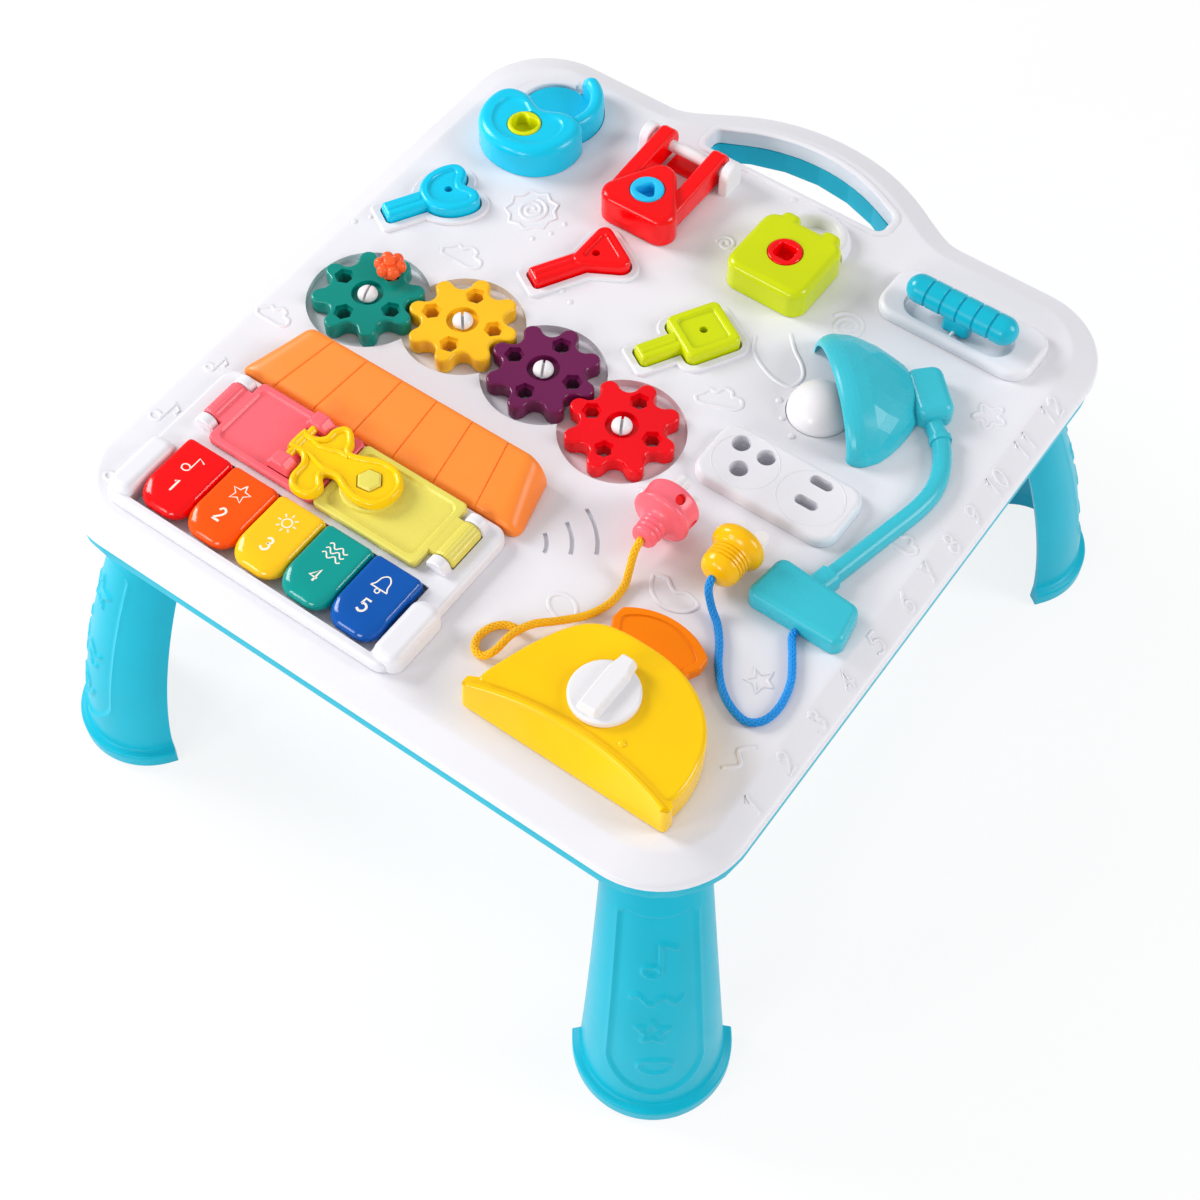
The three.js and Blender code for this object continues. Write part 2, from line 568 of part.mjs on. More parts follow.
const bulbHole = slab(circle(...bulb.at, bulb.radius + gap.turn, 20), -board.wall - gap.past, gap.past);
const hornSwept = (low, high) => slab(band(...shackle.at, shackle.inner - gap.turn, shackle.outer + gap.turn,
  shackle.from - shackle.travel - shackle.spare, shackle.to + shackle.spare, 12), low, high);
const discSwept = (low, high) => slab(circle(...shackle.at, shackle.discRadius + gap.turn, 20), low, high);
const shacklePocket = [hornSwept, discSwept].map((swept) => swept(-shackle.pocketDepth, gap.past));
const recessFloor = gear.high - gear.recessDepth;
const posts = gearPlaces.map(({ at, turn }) => {
  const [x, y] = at;
  const headLow = recessFloor + gap.slip;
  const post = turned([
    [0, -gear.wellDepth - gap.seat], [gear.postRadius, -gear.wellDepth - gap.seat],
    [gear.postRadius, headLow], [gear.pinRadius, headLow], [gear.postRadius, gear.high + gear.pinRise],
    [0, gear.high + gear.pinRise],
  ], 8).translate(x, y, 0);
  const split = new THREE.BoxGeometry(gear.pinSplit, 4 * gear.pinRadius, 2 * gear.recessDepth)
    .rotateZ(turn * deg).translate(x, y, gear.high + gear.pinRise);
  return cut(post, split);
});
const whiteArc = slab(band(...shackle.at, shackle.arcInner, shackle.outer, shackle.arcFrom, shackle.arcTo, 6),
  -board.wall / 2, shackle.arcHigh, shackle.arcEdge, 0, 1);
const archLine = band(...squareLock.archAt, squareLock.archInner, squareLock.archOuter,
  squareLock.archFrom, squareLock.archTo, 9);
const arch = slab(archLine, -board.wall / 2, squareLock.archHigh, squareLock.archEdge);
const axleStands = [triangleLock.axleLeft, triangleLock.axleRight].map((end, i) => {
  const middle = end + (i === 0 ? 1 : -1) * (triangleLock.standWide / 2 - gap.past);
  const { axleY, axleZ, standRadius, standWide, axleRadius } = triangleLock;
  const dome = rod('x', [middle, axleY, axleZ], standRadius, standWide, 10);
  const foot = block([middle - standWide / 2, middle + standWide / 2],
    [axleY - standRadius, axleY + standRadius], [-board.wall / 2, axleZ]);
  const bore = rod('x', [middle + (i === 0 ? 1 : -1) * gap.past * 2, axleY, axleZ],
    axleRadius + gap.slip, standWide, 8);
  return cut(join(dome, foot), bore);
});
const topShell = join(
  cut(
    join(skin, wellWalls, bedWalls, bedFrames.flat(), slotWall),
    wells, beds.flat(), soundSlots, underSockets, bulbHole, shacklePocket,
    slab(slotLine, -board.skirtDepth - gap.past, gap.past),
  ),
  posts, whiteArc, arch, axleStands,
);
part('top_shell', topShell, colours.white);

// Teal tray with slots for the legs, screw posts, battery box and its opening
const trayLine = inset(rimLine, tray.inset);
const trayTop = -board.skirtDepth - gap.seat;
const trayFloor = -tray.depth + tray.wall;
const legX = board.width / 2 - leg.fromSide;
const legPlaces = [
  { name: 'leg_front_left', at: [-legX, leg.fromEnd], turn: leg.angle - 180 },
  { name: 'leg_front_right', at: [legX, leg.fromEnd], turn: -leg.angle },
  { name: 'leg_rear_left', at: [-legX, board.depth - leg.fromEnd], turn: 180 - leg.angle },
  { name: 'leg_rear_right', at: [legX, board.depth - leg.fromEnd], turn: leg.angle },
];

// Leg section at a height share: a U that opens towards -x
function legSection(share, radius, reach, wall) {
  const shift = -leg.lean * share ** legLeanPower;
  return ring(
    [point(shift - reach, -radius)], arc(shift, 0, radius, -90, 90, 7), [point(shift - reach, radius)],
    [point(shift - reach, radius - wall)], arc(shift, 0, radius - wall, 90, -90, 7),
    [point(shift - reach, wall - radius)],
  );
}
const legRadius = (share) => leg.lowRadius + (leg.highRadius - leg.lowRadius) * share;
const legReach = (share) => leg.lowReach + (leg.highReach - leg.lowReach) * share;
const legFoot = leg.footHeight + leg.footShoulder;
const legZ = (share) => legFoot - board.deckHeight + (board.deckHeight - legFoot - tray.depth) * share;
const plugTop = -tray.depth + leg.plug;
const topRadius = legRadius(1);
const topReach = legReach(1);
const legSlot = (grow, low, high) =>
  slab(inset(legSection(1, topRadius, topReach, leg.wall), -grow), low, high);
const legPlaced = (shape, { at, turn }) => shape.rotateZ(turn * deg).translate(...at, 0);
const legBlockLine = ring(
  arc(-leg.lean, 0, topRadius + leg.blockWall, -90, 90, 6),
  [point(-leg.lean - topReach - leg.blockWall, topRadius + leg.blockWall)],
  [point(-leg.lean - topReach - leg.blockWall, -topRadius - leg.blockWall)],
);
const legBlocks = legPlaces.map((place) =>
  legPlaced(slab(legBlockLine, trayFloor - gap.seat, plugTop + gap.seat + leg.blockRoof), place));
const legSlots = legPlaces.map((place) =>
  legPlaced(legSlot(gap.seat, -tray.depth - gap.past, plugTop + gap.seat), place));
const trayShell = cut(
  slab(trayLine, -tray.depth, trayTop, 0, tray.edge, 1),
  slab(inset(trayLine, tray.wall), trayFloor, trayTop + gap.past),
);
const boxHalfX = battery.long / 2 + battery.boxGap + battery.tipLong;
const boxHalfY = (battery.count * battery.pitch) / 2 + battery.boxGap;
const cellZ = battery.doorThick + battery.radius - tray.depth;
const boxTop = cellZ + battery.radius + battery.boxGap / 2;
const boxOutline = (grow, round) => rectangle(-boxHalfX - grow, -boxHalfY - grow, boxHalfX + grow,
  boxHalfY + grow, round, 2).map((p) => p.add(point(...battery.at)));
const batteryBox = cut(
  slab(boxOutline(battery.boxWall, battery.boxWall), trayFloor - gap.seat, boxTop + battery.boxWall / 2),
  slab(boxOutline(0, gap.past), -tray.depth, boxTop),
);
const batteryOpenings = [
  slab(boxOutline(0, gap.past), -tray.depth - gap.past, boxTop),
  slab(boxOutline(battery.doorLip, battery.doorLip), -tray.depth - gap.past, -tray.depth + battery.doorThick),
];
const doorFloor = slab(boxOutline(battery.doorLip + battery.boxWall, battery.doorLip), -tray.depth + gap.past,
  -tray.depth + battery.doorThick + battery.boxWall);
const circuitPosts = [circuit.left + circuit.inset, circuit.right - circuit.inset].flatMap((x) =>
  [circuit.front + circuit.inset, circuit.back - circuit.inset].map((y) =>
    slab(circle(x, y, circuit.postRadius, 6), trayFloor - gap.seat, circuit.low - gap.seat)));
const postPlaces = [
  ...tray.leftPosts.map(([reach, y]) => [reach - board.width / 2, y]),
  ...tray.rightPosts.map(([reach, y]) => [board.width / 2 - reach, y]), ...tray.middlePosts,
];
const screwPosts = postPlaces.map(([x, y]) =>
  slab(circle(x, y, tray.postRadius, 6), trayFloor - gap.seat, -board.wall - gap.seat));
part('bottom_tray', cut(
  join(trayShell, legBlocks, screwPosts, circuitPosts, batteryBox, doorFloor,
    slab(inset(slotLine, -slot.collar), trayFloor - gap.seat, trayTop)),
  legSlots, batteryOpenings, slab(slotLine, -tray.depth - gap.past, trayTop + gap.past),
), colours.teal);

// Leg shell with its foot and a sunk arch panel
function legShape() {
  const wallAt = (radius, share) => leg.wall + radius - legRadius(share);
  const foot = (z, radius) => [legSection(0, radius, leg.lowReach, wallAt(radius, 0)), z];
  const upper = legLevelShares.map((share) =>
    [legSection(share, legRadius(share), legReach(share), leg.wall), legZ(share)]);
  const body = loft([
    foot(-board.deckHeight, leg.footRadius), foot(leg.footHeight - board.deckHeight, leg.footRadius),
    ...upper,
    [legSection(1, topRadius, topReach, leg.wall), plugTop],
  ]);
  const coreLine = (share) => {
    const radius = legRadius(share) - legPanel.depth;
    return legSection(share, radius, legReach(share), radius).slice(0, 10);
  };
  const core = loft(legLevelShares.map((share) => [coreLine(share), legZ(share)]));
  const face = slab(rounded([
    [-legPanel.bottomHalf, legPanel.bottom, legPanel.bottomCorner],
    [legPanel.bottomHalf, legPanel.bottom, legPanel.bottomCorner],
    [legPanel.topHalf, legPanel.top], [-legPanel.topHalf, legPanel.top],
  ], legPanel.topCorner, 4), 0, 2 * leg.footRadius).rotateX(Math.PI / 2).rotateZ(Math.PI / 2);
  const shifted = face.translate(-leg.lean, 0, 0);
  return cut(body, cut(shifted, core));
}
const legSolid = legShape();
legPlaces.forEach(({ name, at, turn }) => part(name, legSolid, colours.teal, { at, turn }));

// Meshing gears, each turned to its own phase so the teeth interleave
const gearBody = (() => {
  const spots = Array.from({ length: gear.dimples }, (_, i) => {
    const angle = ((360 / gear.dimples) * i) * deg;
    return [gear.dimpleRing * Math.cos(angle), gear.dimpleRing * Math.sin(angle)];
  });
  return cut(
    slab(gearOutline(), gear.low, gear.high, gear.edge, 0, 1),
    spots.map(([x, y]) => slab(polygon(x, y, gear.holeFlat), gear.low - gap.past, gear.high + gap.past)),
    slab(circle(0, 0, gear.recessRadius, 12), recessFloor, gear.high + gap.past),
    slab(circle(0, 0, gear.postRadius + gap.turn, 8), gear.low - gap.past, gear.high),
  );
})();
const gearColours = [colours.gearTeal, colours.gearYellow, colours.gearPurple, colours.gearRed];
gearPlaces.forEach(({ colour, at, turn }, i) =>
  part(`gear_${colour}`, gearBody, gearColours[i], { at, turn }));

// Flower peg standing in one hexagonal hole of the first gear
const pegHole = gearPlaces[0].turn + 360 / gear.dimples;
const pegAt = [
  gearPlaces[0].at[0] + gear.dimpleRing * Math.cos(pegHole * deg),
  gearPlaces[0].at[1] + gear.dimpleRing * Math.sin(pegHole * deg),
];
part('flower_peg', join(
  slab(petalOutline(flower.radius, flower.petalDepth, flower.petals, 3),
    flower.low, flower.high, flower.edge, 0, 1),
  slab(polygon(0, 0, flower.stemFlat), flower.stemLow, flower.high - flower.edge),
  slab(polygon(0, 0, flower.collarFlat), flower.collarLow, flower.low + gap.past),
  slab(circle(0, 0, flower.heart, 8), flower.low, flower.high + flower.heartRise, flower.heartRise / 2, 0, 1),
), colours.orange, { at: pegAt, turn: pegHole });

// Piano plate with cheeks, key window and the hidden hinge channel
const knuckles = [door.leftHinge, door.rightHinge].flatMap((x) => {
  const front = door.barrelFront - door.knuckleGap - door.knuckleLong / 2;
  const back = door.barrelBack + door.knuckleGap + door.knuckleLong / 2;
  return [front, back].map((y) => join(
    rod('y', [x, y, door.hingeZ], door.barrelRadius, door.knuckleLong, 8),
    block([x - door.barrelRadius, x + door.barrelRadius],
      [y - door.knuckleLong / 2, y + door.knuckleLong / 2], [gap.seat, door.hingeZ]),
  ));
});
const barrelBays = [door.leftHinge, door.rightHinge].map((x, i) => {
  const side = i === 0 ? 1 : -1;
  const reach = door.barrelRadius + gap.turn;
  const panelSide = x + side * (reach + gap.past);
  return block([Math.min(x - side * reach, panelSide), Math.max(x - side * reach, panelSide)],
    [door.barrelFront - gap.turn, door.barrelBack + gap.turn], [-gap.past, door.barrelRadius * 3]);
});
const cheeks = [[piano.left, piano.windowLeft], [piano.windowRight, piano.cheekRight]].map(([left, right]) =>
  slab(rectangle(left, piano.cheekFront, right, piano.cheekBack, piano.cheekCorner), gap.seat,
    piano.cheekHeight, piano.cheekEdge, 0, 1));
part('piano_deck', cut(
  join(
    slab(rectangle(piano.left, piano.front, piano.right, piano.back, piano.corner), gap.seat,
      piano.height, piano.edge, 0, 1),
    cheeks, knuckles,
  ),
  block([piano.windowLeft, piano.windowRight], [piano.windowFront, piano.windowBack],
    [-gap.past, piano.cheekHeight + gap.past]),
  block([piano.windowLeft, piano.windowRight], [piano.windowBack - gap.past, piano.lipBack],
    [-gap.past, piano.lipUnder]),
  barrelBays,
), colours.white);

// Piano keys with a tongue under the lip and a hinge barrel
const keyShapeSolid = join(
  slab(rounded([
    [-keyboard.width / 2, keyboard.front, keyboard.frontCorner],
    [keyboard.width / 2, keyboard.front, keyboard.frontCorner],
    [keyboard.width / 2, keyboard.back], [-keyboard.width / 2, keyboard.back],
  ], keyboard.backCorner, 2), keyboard.low, keyboard.high, keyboard.edge),
  block([-keyboard.tongueWidth / 2, keyboard.tongueWidth / 2],
    [keyboard.back - piano.height, piano.hingeY], [piano.tongueLow, piano.tongueTop]),
  rod('x', [0, piano.hingeY, piano.hingeZ], piano.barrelRadius, keyboard.tongueWidth, 8),
);
Object.entries(keyColours).forEach(([colour, value], i) =>
  part(`piano_key_${colour}`, keyShapeSolid, value, { at: [keyboard.start + keyboard.pitch * i, 0] }));

// Doors: framed leaf, barrel and strap
function doorLeaf(hinge, near, far) {
  const left = Math.min(near, far);
  const right = Math.max(near, far);
  const leaf = slab(rectangle(left, door.front, right, door.back, door.corner, 2),
    door.low, door.high, door.edge, 0, 1);
  const sunk = slab(rectangle(left + door.rim, door.front + door.rim, right - door.rim, door.back - door.rim,
    door.corner, 2), door.high - door.panelDepth, door.high + gap.past);
  const strapEnd = near + Math.sign(far - near);
  const strap = block([Math.min(hinge, strapEnd), Math.max(hinge, strapEnd)],
    [door.barrelFront, door.barrelBack], [door.low, door.high]);
  const barrel = rod('y', [hinge, (door.barrelFront + door.barrelBack) / 2, door.hingeZ],
    door.barrelRadius, door.barrelBack - door.barrelFront, 8);
  return join(cut(leaf, sunk), strap, barrel);
}
const earBlocks = [ears.frontY, ears.backY].map((y, i) => {
  const shape = slab(rectangle(ears.x - ears.long / 2, y - ears.across / 2, ears.x + ears.long / 2,
    y + ears.across / 2, ears.round, 1), door.low + gap.past, ears.high, ears.edge, 0, 1);
  const inner = y + (i === 0 ? 1 : -1) * ears.across / 2;
  return cut(shape, rod('y', [ears.x, inner, ears.pinZ], hasp.pinRadius + gap.slip,
    2 * (hasp.pinGrip + gap.slip), 8));
});
part('door_left', join(doorLeaf(door.leftHinge, door.leftNear, door.leftFar), earBlocks), colours.pink);
const studShape = slab(polygon(...stud.at, stud.flat), door.low + gap.past, stud.high, stud.chamfer, 0, 1);
const studBoss = slab(circle(...stud.at, stud.bossRadius, 16), door.low + gap.past, stud.bossHigh,
  stud.bossEdge, 0, 1);
part('door_right', join(doorLeaf(door.rightHinge, door.rightNear, door.rightFar), studBoss, studShape),
  colours.lime);

// Hasp swinging between the ears of the left door, its hexagonal eye drops over the stud
const haspLine = haspOutline.map(([x, y]) => point(x, y));
const haspPinLong = ears.backY - ears.frontY - ears.across + 2 * hasp.pinGrip;
part('door_hasp', cut(
  join(
    slab(haspLine, hasp.low, hasp.high, hasp.edge, 0, 1),
    slab(circle(...stud.at, hasp.rimRadius, 12), hasp.low, hasp.high + hasp.rimRise, hasp.edge, 0, 1),
    rod('y', [ears.x, (ears.frontY + ears.backY) / 2, ears.pinZ], hasp.pinRadius, haspPinLong, 8),
  ),
  slab(polygon(...stud.at, stud.flat + 2 * haspHoleGap), hasp.low - gap.past, hasp.high + 2 * gap.past),
), colours.yellow);

// Awning: sloping roof with falling ends, grooves between its strips
const awningShape = (() => {
  const { frontLeft, frontRight, backLeft, backRight, front, back, corner } = awning;
  const plan = slab(rounded([[frontLeft, front], [frontRight, front], [backRight, back], [backLeft, back]],
    corner, 2), gap.seat, awning.ridge + gap.past);
  const roofLine = rounded([[front - gap.past, gap.seat], [back + gap.past, gap.seat],
    [back + gap.past, awning.ridge - awning.backRound], [back - awning.backRound, awning.ridge],
    [front, awning.lip], [front - gap.past, awning.lip - awning.lipRound]], gap.past, 2);
  const roof = slab(roofLine, frontLeft - gap.past, frontRight + gap.past)
    .rotateX(Math.PI / 2).rotateZ(Math.PI / 2);
  const endLine = rounded([[frontLeft, gap.seat, gap.past], [frontRight, gap.seat, gap.past],
    [frontRight, gap.seat + awning.endDrop / 4, awning.endDrop / 2],
    [frontRight - awning.endDrop, awning.ridge + gap.past, awning.endDrop],
    [frontLeft + awning.endDrop, awning.ridge + gap.past, awning.endDrop],
    [frontLeft, gap.seat + awning.endDrop / 4, awning.endDrop / 2]], gap.past, 4);
  const ends = slab(endLine, -back - gap.past, gap.past - front).rotateX(Math.PI / 2);
  const body = common(plan, roof, ends);
  const seams = Array.from({ length: awning.seams }, (_, i) => {
    const share = (i + 1) / (awning.seams + 1);
    const low = new THREE.Vector3(frontLeft + (frontRight - frontLeft) * share, front, awning.lip);
    const high = new THREE.Vector3(backLeft + (backRight - backLeft) * share, back, awning.ridge);
    const along = high.clone().sub(low);
    const tool = new THREE.CylinderGeometry(awning.seamDepth, awning.seamDepth, along.length() * 2, 4);
    tool.rotateY(Math.PI / 4);
    const upright = new THREE.Vector3(0, 1, 0);
    const turn = new THREE.Quaternion().setFromUnitVectors(upright, along.clone().normalize());
    return tool.applyQuaternion(turn).translate(...low.lerp(high, 1 / 2).toArray());
  });
  return cut(body, seams);
})();
part('awning', awningShape, colours.awning);

// Padlock bodies with keyways that turn
const keywayWell = (at, high) => slab(circle(...at, keyway.radius + gap.slip, 16),
  high - keyway.depth - gap.seat, high + gap.past);
function keywayShape(bore, high) {
  return cut(
    slab(circle(0, 0, keyway.radius, 16), high - keyway.depth, high + keyway.rise, keyway.edge, 0, 1),
    slab(bore, high - keyway.depth / 2 - keyway.rise, high + 2 * keyway.rise),
  );
}
const heartLine = heartOutline(...heartLock.at, heartLock.halfWidth, heartLock.up, heartLock.down,
  heartLock.cleft, 4);
const bowlLine = heartOutline(...heartLock.at, heartLock.halfWidth * heartBowlShares.half,
  heartLock.up * heartBowlShares.up, heartLock.down * heartBowlShares.down,
  heartLock.cleft * heartBowlShares.cleft, 3);
const heartBowl = slab(bowlLine, heartLock.high - heartLock.bowlDepth, heartLock.high + gap.past);
part('heart_lock_body', cut(
  slab(heartLine, gap.seat, heartLock.high, heartLock.edge, 0, 2),
  heartBowl, keywayWell(heartLock.at, heartLock.high - heartLock.bowlDepth),
  discSwept(0, shackle.disc + gap.turn), hornSwept(0, shackle.horn + gap.turn),
), colours.heart);
const smallHeart = heartOutline(0, 0, heartBore.half, heartBore.up, heartBore.down, heartBore.cleft, 3);
part('heart_lock_keyway', keywayShape(smallHeart, heartLock.high - heartLock.bowlDepth),
  colours.ringYellow, { at: heartLock.at });

// Shackle: a low disc in the deck pocket carrying a curved horn
const hornShape = (() => {
  const bands = slab(band(0, 0, shackle.inner, shackle.outer, shackle.from, shackle.to, 8),
    gap.seat - shackle.pocketDepth, shackle.horn, shackle.edge);
  const floor = slab(circle(0, 0, shackle.discRadius, 16), gap.seat - shackle.pocketDepth, shackle.disc);
  return join(bands, floor);
})();
part('heart_lock_shackle', hornShape, colours.heart, { at: shackle.at });

// Triangle lock that tips back on its axle
const axleX = (triangleLock.axleLeft + triangleLock.axleRight) / 2;
const axleMiddle = [axleX, triangleLock.axleY, triangleLock.axleZ];
const bossAt = (x) => rod('x', [x, triangleLock.axleY, triangleLock.axleZ],
  triangleLock.bossRadius, triangleLock.armWide, 10);
const armAt = (x) => block([x - triangleLock.armWide / 2, x + triangleLock.armWide / 2],
  [triangleLock.armFrom, triangleLock.axleY],
  [triangleLock.axleZ - triangleLock.bossRadius, triangleLock.armHigh]);
const triangleLine = rounded(triangleLock.corners, triangleLock.round, 3);
part('triangle_lock_body', cut(
  join(
    slab(triangleLine, triangleLock.low, triangleLock.high, triangleLock.edge),
    [triangleLock.armLeft, triangleLock.armRight].flatMap((x) => [bossAt(x), armAt(x)]),
  ),
  rod('x', axleMiddle, triangleLock.axleRadius + gap.turn, triangleLock.axleRight - triangleLock.axleLeft, 8),
  keywayWell(triangleLock.ringAt, triangleLock.high),
), colours.red);
part('triangle_lock_keyway', keywayShape(rounded(triangleBore, keyway.boreRound, 2), triangleLock.high),
  colours.skyBlue, { at: triangleLock.ringAt });
const axleLong = triangleLock.axleRight - triangleLock.axleLeft - 2 * (triangleLock.standWide - 2 * gap.past);
part('triangle_lock_axle', rod('x', axleMiddle, triangleLock.axleRadius, axleLong + 4 * gap.past, 10),
  colours.white);
const padLine = rectangle(triangleLock.trayLeft, triangleLock.trayFront, triangleLock.trayRight,
  triangleLock.trayBack, triangleLock.trayCorner, 2);
part('triangle_lock_pad', slab(padLine, gap.seat, triangleLock.trayHigh, gap.seat, 0, 1), colours.red);

// Square lock, fixed, under its moulded arch
const [squareX, squareY] = squareLock.at;
const squareEars = [squareLock.earLeft, squareLock.earRight].map((x) => slab(
  rectangle(x - squareLock.earWide / 2, squareLock.earY - squareLock.earLong, x + squareLock.earWide / 2,
    squareLock.earY + squareLock.earLong / 2, squareLock.earRound, 1),
  gap.seat, squareLock.high, squareLock.edge, 0, 1,
));
part('square_lock_body', cut(
  join(
    slab(rectangle(squareX - squareLock.width / 2, squareY - squareLock.depth / 2,
      squareX + squareLock.width / 2, squareY + squareLock.depth / 2, squareLock.round, 3),
    gap.seat, squareLock.high, squareLock.edge),
    squareEars,
  ),
  slab(inset(archLine, -gap.slip), 0, squareLock.archHigh + gap.slip),
  keywayWell(squareLock.at, squareLock.high),
), colours.green);
const squareBore = rectangle(-keyway.squareHalf, -keyway.squareHalf, keyway.squareHalf, keyway.squareHalf,
  keyway.boreRound, 2);
part('square_lock_keyway', keywayShape(squareBore, squareLock.high), colours.red, { at: squareLock.at });

// Toy keys with a sunk face and a round eye
const toyKeyColours = { heart: colours.heart, triangle: colours.red, square: colours.green };
keyKinds.forEach((kind) => {
  const head = headOutline(kind);
  const body = join(
    slab(head, toyKey.low, toyKey.high, toyKey.edge, 0, 1),
    slab(shaftOutline(0), toyKey.low, toyKey.high - toyKey.edge, toyKey.edge, 0, 1),
  );
  const face = slab(inset(head, toyKey.inlay), toyKey.high - toyKey.inlayDepth, toyKey.high + gap.past);
  const eye = slab(circle(0, 0, toyKey.hole, 10), toyKey.low - gap.past, toyKey.high);
  const place = { at: keyHeads[kind].at, turn: toyKey.turn };
  part(`${kind}_key`, cut(body, face, eye), toyKeyColours[kind], place);
});

// See-saw handle in its block
const [handleX, handleY] = rocker.handleAt;
part('rocker_block', cut(
  slab(rectangle(rocker.left, rocker.front, rocker.right, rocker.back, rocker.corner, 3),
    gap.seat, rocker.high, rocker.edge, 0, 1),
  slab(rectangle(handleX - rocker.wellLong / 2, handleY - rocker.wellWide / 2,
    handleX + rocker.wellLong / 2, handleY + rocker.wellWide / 2, rocker.wellWide / 2, 3),
  rocker.high - rocker.wellDepth, rocker.high + gap.past),
  rod('y', [handleX, handleY, rocker.pivotZ], rocker.pinRadius + gap.turn,
    rocker.wellWide + 2 * (rocker.pinLong + gap.turn), 8),
), colours.white);
const gripProfile = (() => {
  const half = rocker.long / 2;
  const end = arc(half - rocker.radius, 0, rocker.radius, 0, 90, 2).map((p) => [p.y, p.x]);
  const spots = Array.from({ length: rocker.grooves }, (_, i) =>
    ((i + 1) / (rocker.grooves + 1) - 1 / 2) * (rocker.long - rocker.radius) * -1);
  const notches = spots.flatMap((x) => [
    [rocker.radius, x + rocker.grooveWide / 2], [rocker.radius - rocker.grooveDepth, x],
    [rocker.radius, x - rocker.grooveWide / 2],
  ]);
  return [...end, ...notches, ...end.map(([r, x]) => [r, -x]).reverse()];
})();
const grip = turned(gripProfile, 8).rotateY(Math.PI / 2).translate(0, 0, rocker.axisZ);
part('rocker_handle', join(
  grip,
  slab(rectangle(-rocker.stemWide / 2, -rocker.stemDeep, rocker.stemWide / 2, rocker.stemDeep,
    rocker.pinRadius, 2), rocker.stemLow, rocker.axisZ),
  rod('y', [0, 0, rocker.pivotZ], rocker.pinRadius, rocker.wellWide + 2 * rocker.pinLong, 8),
), colours.handle, { at: rocker.handleAt });

// Lamp shade: half of a faceted bell lying on the deck, with its end cap
const bell = (profile, count) => turned(profile, count)
  .rotateY(Math.PI / 2).scale(1, 1, lamp.squash);
const shadeOuter = [[0, 0], ...shadeProfile.map(([s, r]) => [r, s]), [0, shadeProfile.at(-1)[0]]];
const shadeInner = [
  [0, -gap.past], [shadeProfile[0][1] - lamp.wall, -gap.past],
  ...shadeProfile.slice(1).map(([s, r]) => [r - lamp.wall, s - lamp.wall / 2]),
  [0, shadeProfile.at(-1)[0] - lamp.wall],
];
const aboveDeck = block([-board.width, board.width], [-board.width, board.width], [gap.seat, board.width]);
const lampShade = common(cut(
  join(
    bell(shadeOuter, lamp.facets),
    slab(rectangle(lamp.capFrom - lamp.capCorner, -lamp.capRight, lamp.capTo, lamp.capLeft,
      lamp.capCorner, 3), gap.seat, lamp.capHigh, lamp.capEdge),
  ),
  bell(shadeInner, lamp.facets),
), aboveDeck);
part('lamp_shade', lampShade, colours.lamp, { at: lamp.mouthAt, turn: lamp.turn });

// Lamp arm: crowned bar along its path with a collar where it enters the base
function bar(line, grow) {
  const half = lamp.armWide / 2 + grow;
  const sides = line.map((p, i) => {
    const before = line[Math.max(i - 1, 0)];
    const after = line[Math.min(i + 1, line.length - 1)];
    return after.clone().sub(before).normalize().rotateAround(point(0, 0), Math.PI / 2);
  });
  const edge = (reach) => ring(
    line.map((p, i) => p.clone().addScaledVector(sides[i], -reach)),
    line.map((p, i) => p.clone().addScaledVector(sides[i], reach)).reverse(),
  );
  return loft([[edge(half), gap.seat], [edge(half), lamp.armTop + grow],
    [edge(half * armCrownShare), lamp.armHigh + grow]]);
}
const armLine = armPath.map(([x, y]) => point(x, y));
const armEnd = armLine.at(-1);
const collarStart = armLine.at(-2).clone().sub(armEnd).setLength(lamp.collarLong).add(armEnd);
const baseLine = rounded(lampBaseCorners, lamp.baseCorner, 3);
part('lamp_arm', cut(
  join(bar(armLine, 0), bar([collarStart, armEnd], lamp.collarGrow)),
  slab(inset(baseLine, -gap.seat), 0, lamp.baseHigh + gap.past),
), colours.lamp);
part('lamp_base', slab(baseLine, gap.seat, lamp.baseHigh, lamp.baseEdge), colours.lamp);

// Push button bulb held below the deck by its flange
const bulbDome = arc(0, 0, 1, 0, 90, 4).map((p) => [p.x * bulb.radius, p.y * bulb.rise]);
part('lamp_bulb', turned([
  [0, bulb.flangeLow], [bulb.flange, bulb.flangeLow], [bulb.flange, bulb.flangeTop],
  [bulb.radius, bulb.flangeTop],
  ...bulbDome.slice(0, -1), [0, bulb.rise],
], 18), colours.white, { at: bulb.at });

// Socket plate
part('socket_block', cut(
  slab(rectangle(socket.left, socket.front, socket.right, socket.back, socket.corner, 3),
    gap.seat, socket.high, socket.edge, 0, 1),
  socketLines.map((outline) => slab(outline, -gap.past, socket.high + gap.past)),
), colours.white);

// Plugs lying on the deck, turned about local Y
const pinPlugSpots = Array.from({ length: 3 }, (_, i) => {
  const angle = (90 + 120 * i) * deg;
  return [pinPlug.prongRing * Math.cos(angle), pinPlug.prongRing * Math.sin(angle)];
});
const pinNose = pinPlugProfile.at(-1)[1];
const prongTip = pinPlug.prongLong + pinPlug.prongBack;
const prongs = pinPlugSpots.map(([x, z]) => turned([
  [0, 0], [pinPlug.prongRadius, 0], [pinPlug.prongRadius, prongTip - pinPlug.prongRadius / 2],
  [pinPlug.prongRadius / 2, prongTip], [0, prongTip],
], 8).rotateX(-Math.PI / 2).translate(x, pinNose - pinPlug.prongBack, z));
const prongWells = pinPlugSpots.map(([x, z]) => rod('y', [x, pinNose, z], pinPlug.prongRadius + gap.seat,
  2 * (pinPlug.prongBack + gap.seat), 8));
const plugBody = (profile, wells) => cut(turned(profile, 12).rotateX(-Math.PI / 2), wells);
const carrier = rod('y', [0, pinNose + gap.seat + gap.past / 2, 0], pinPlug.prongRing, gap.past, 12);
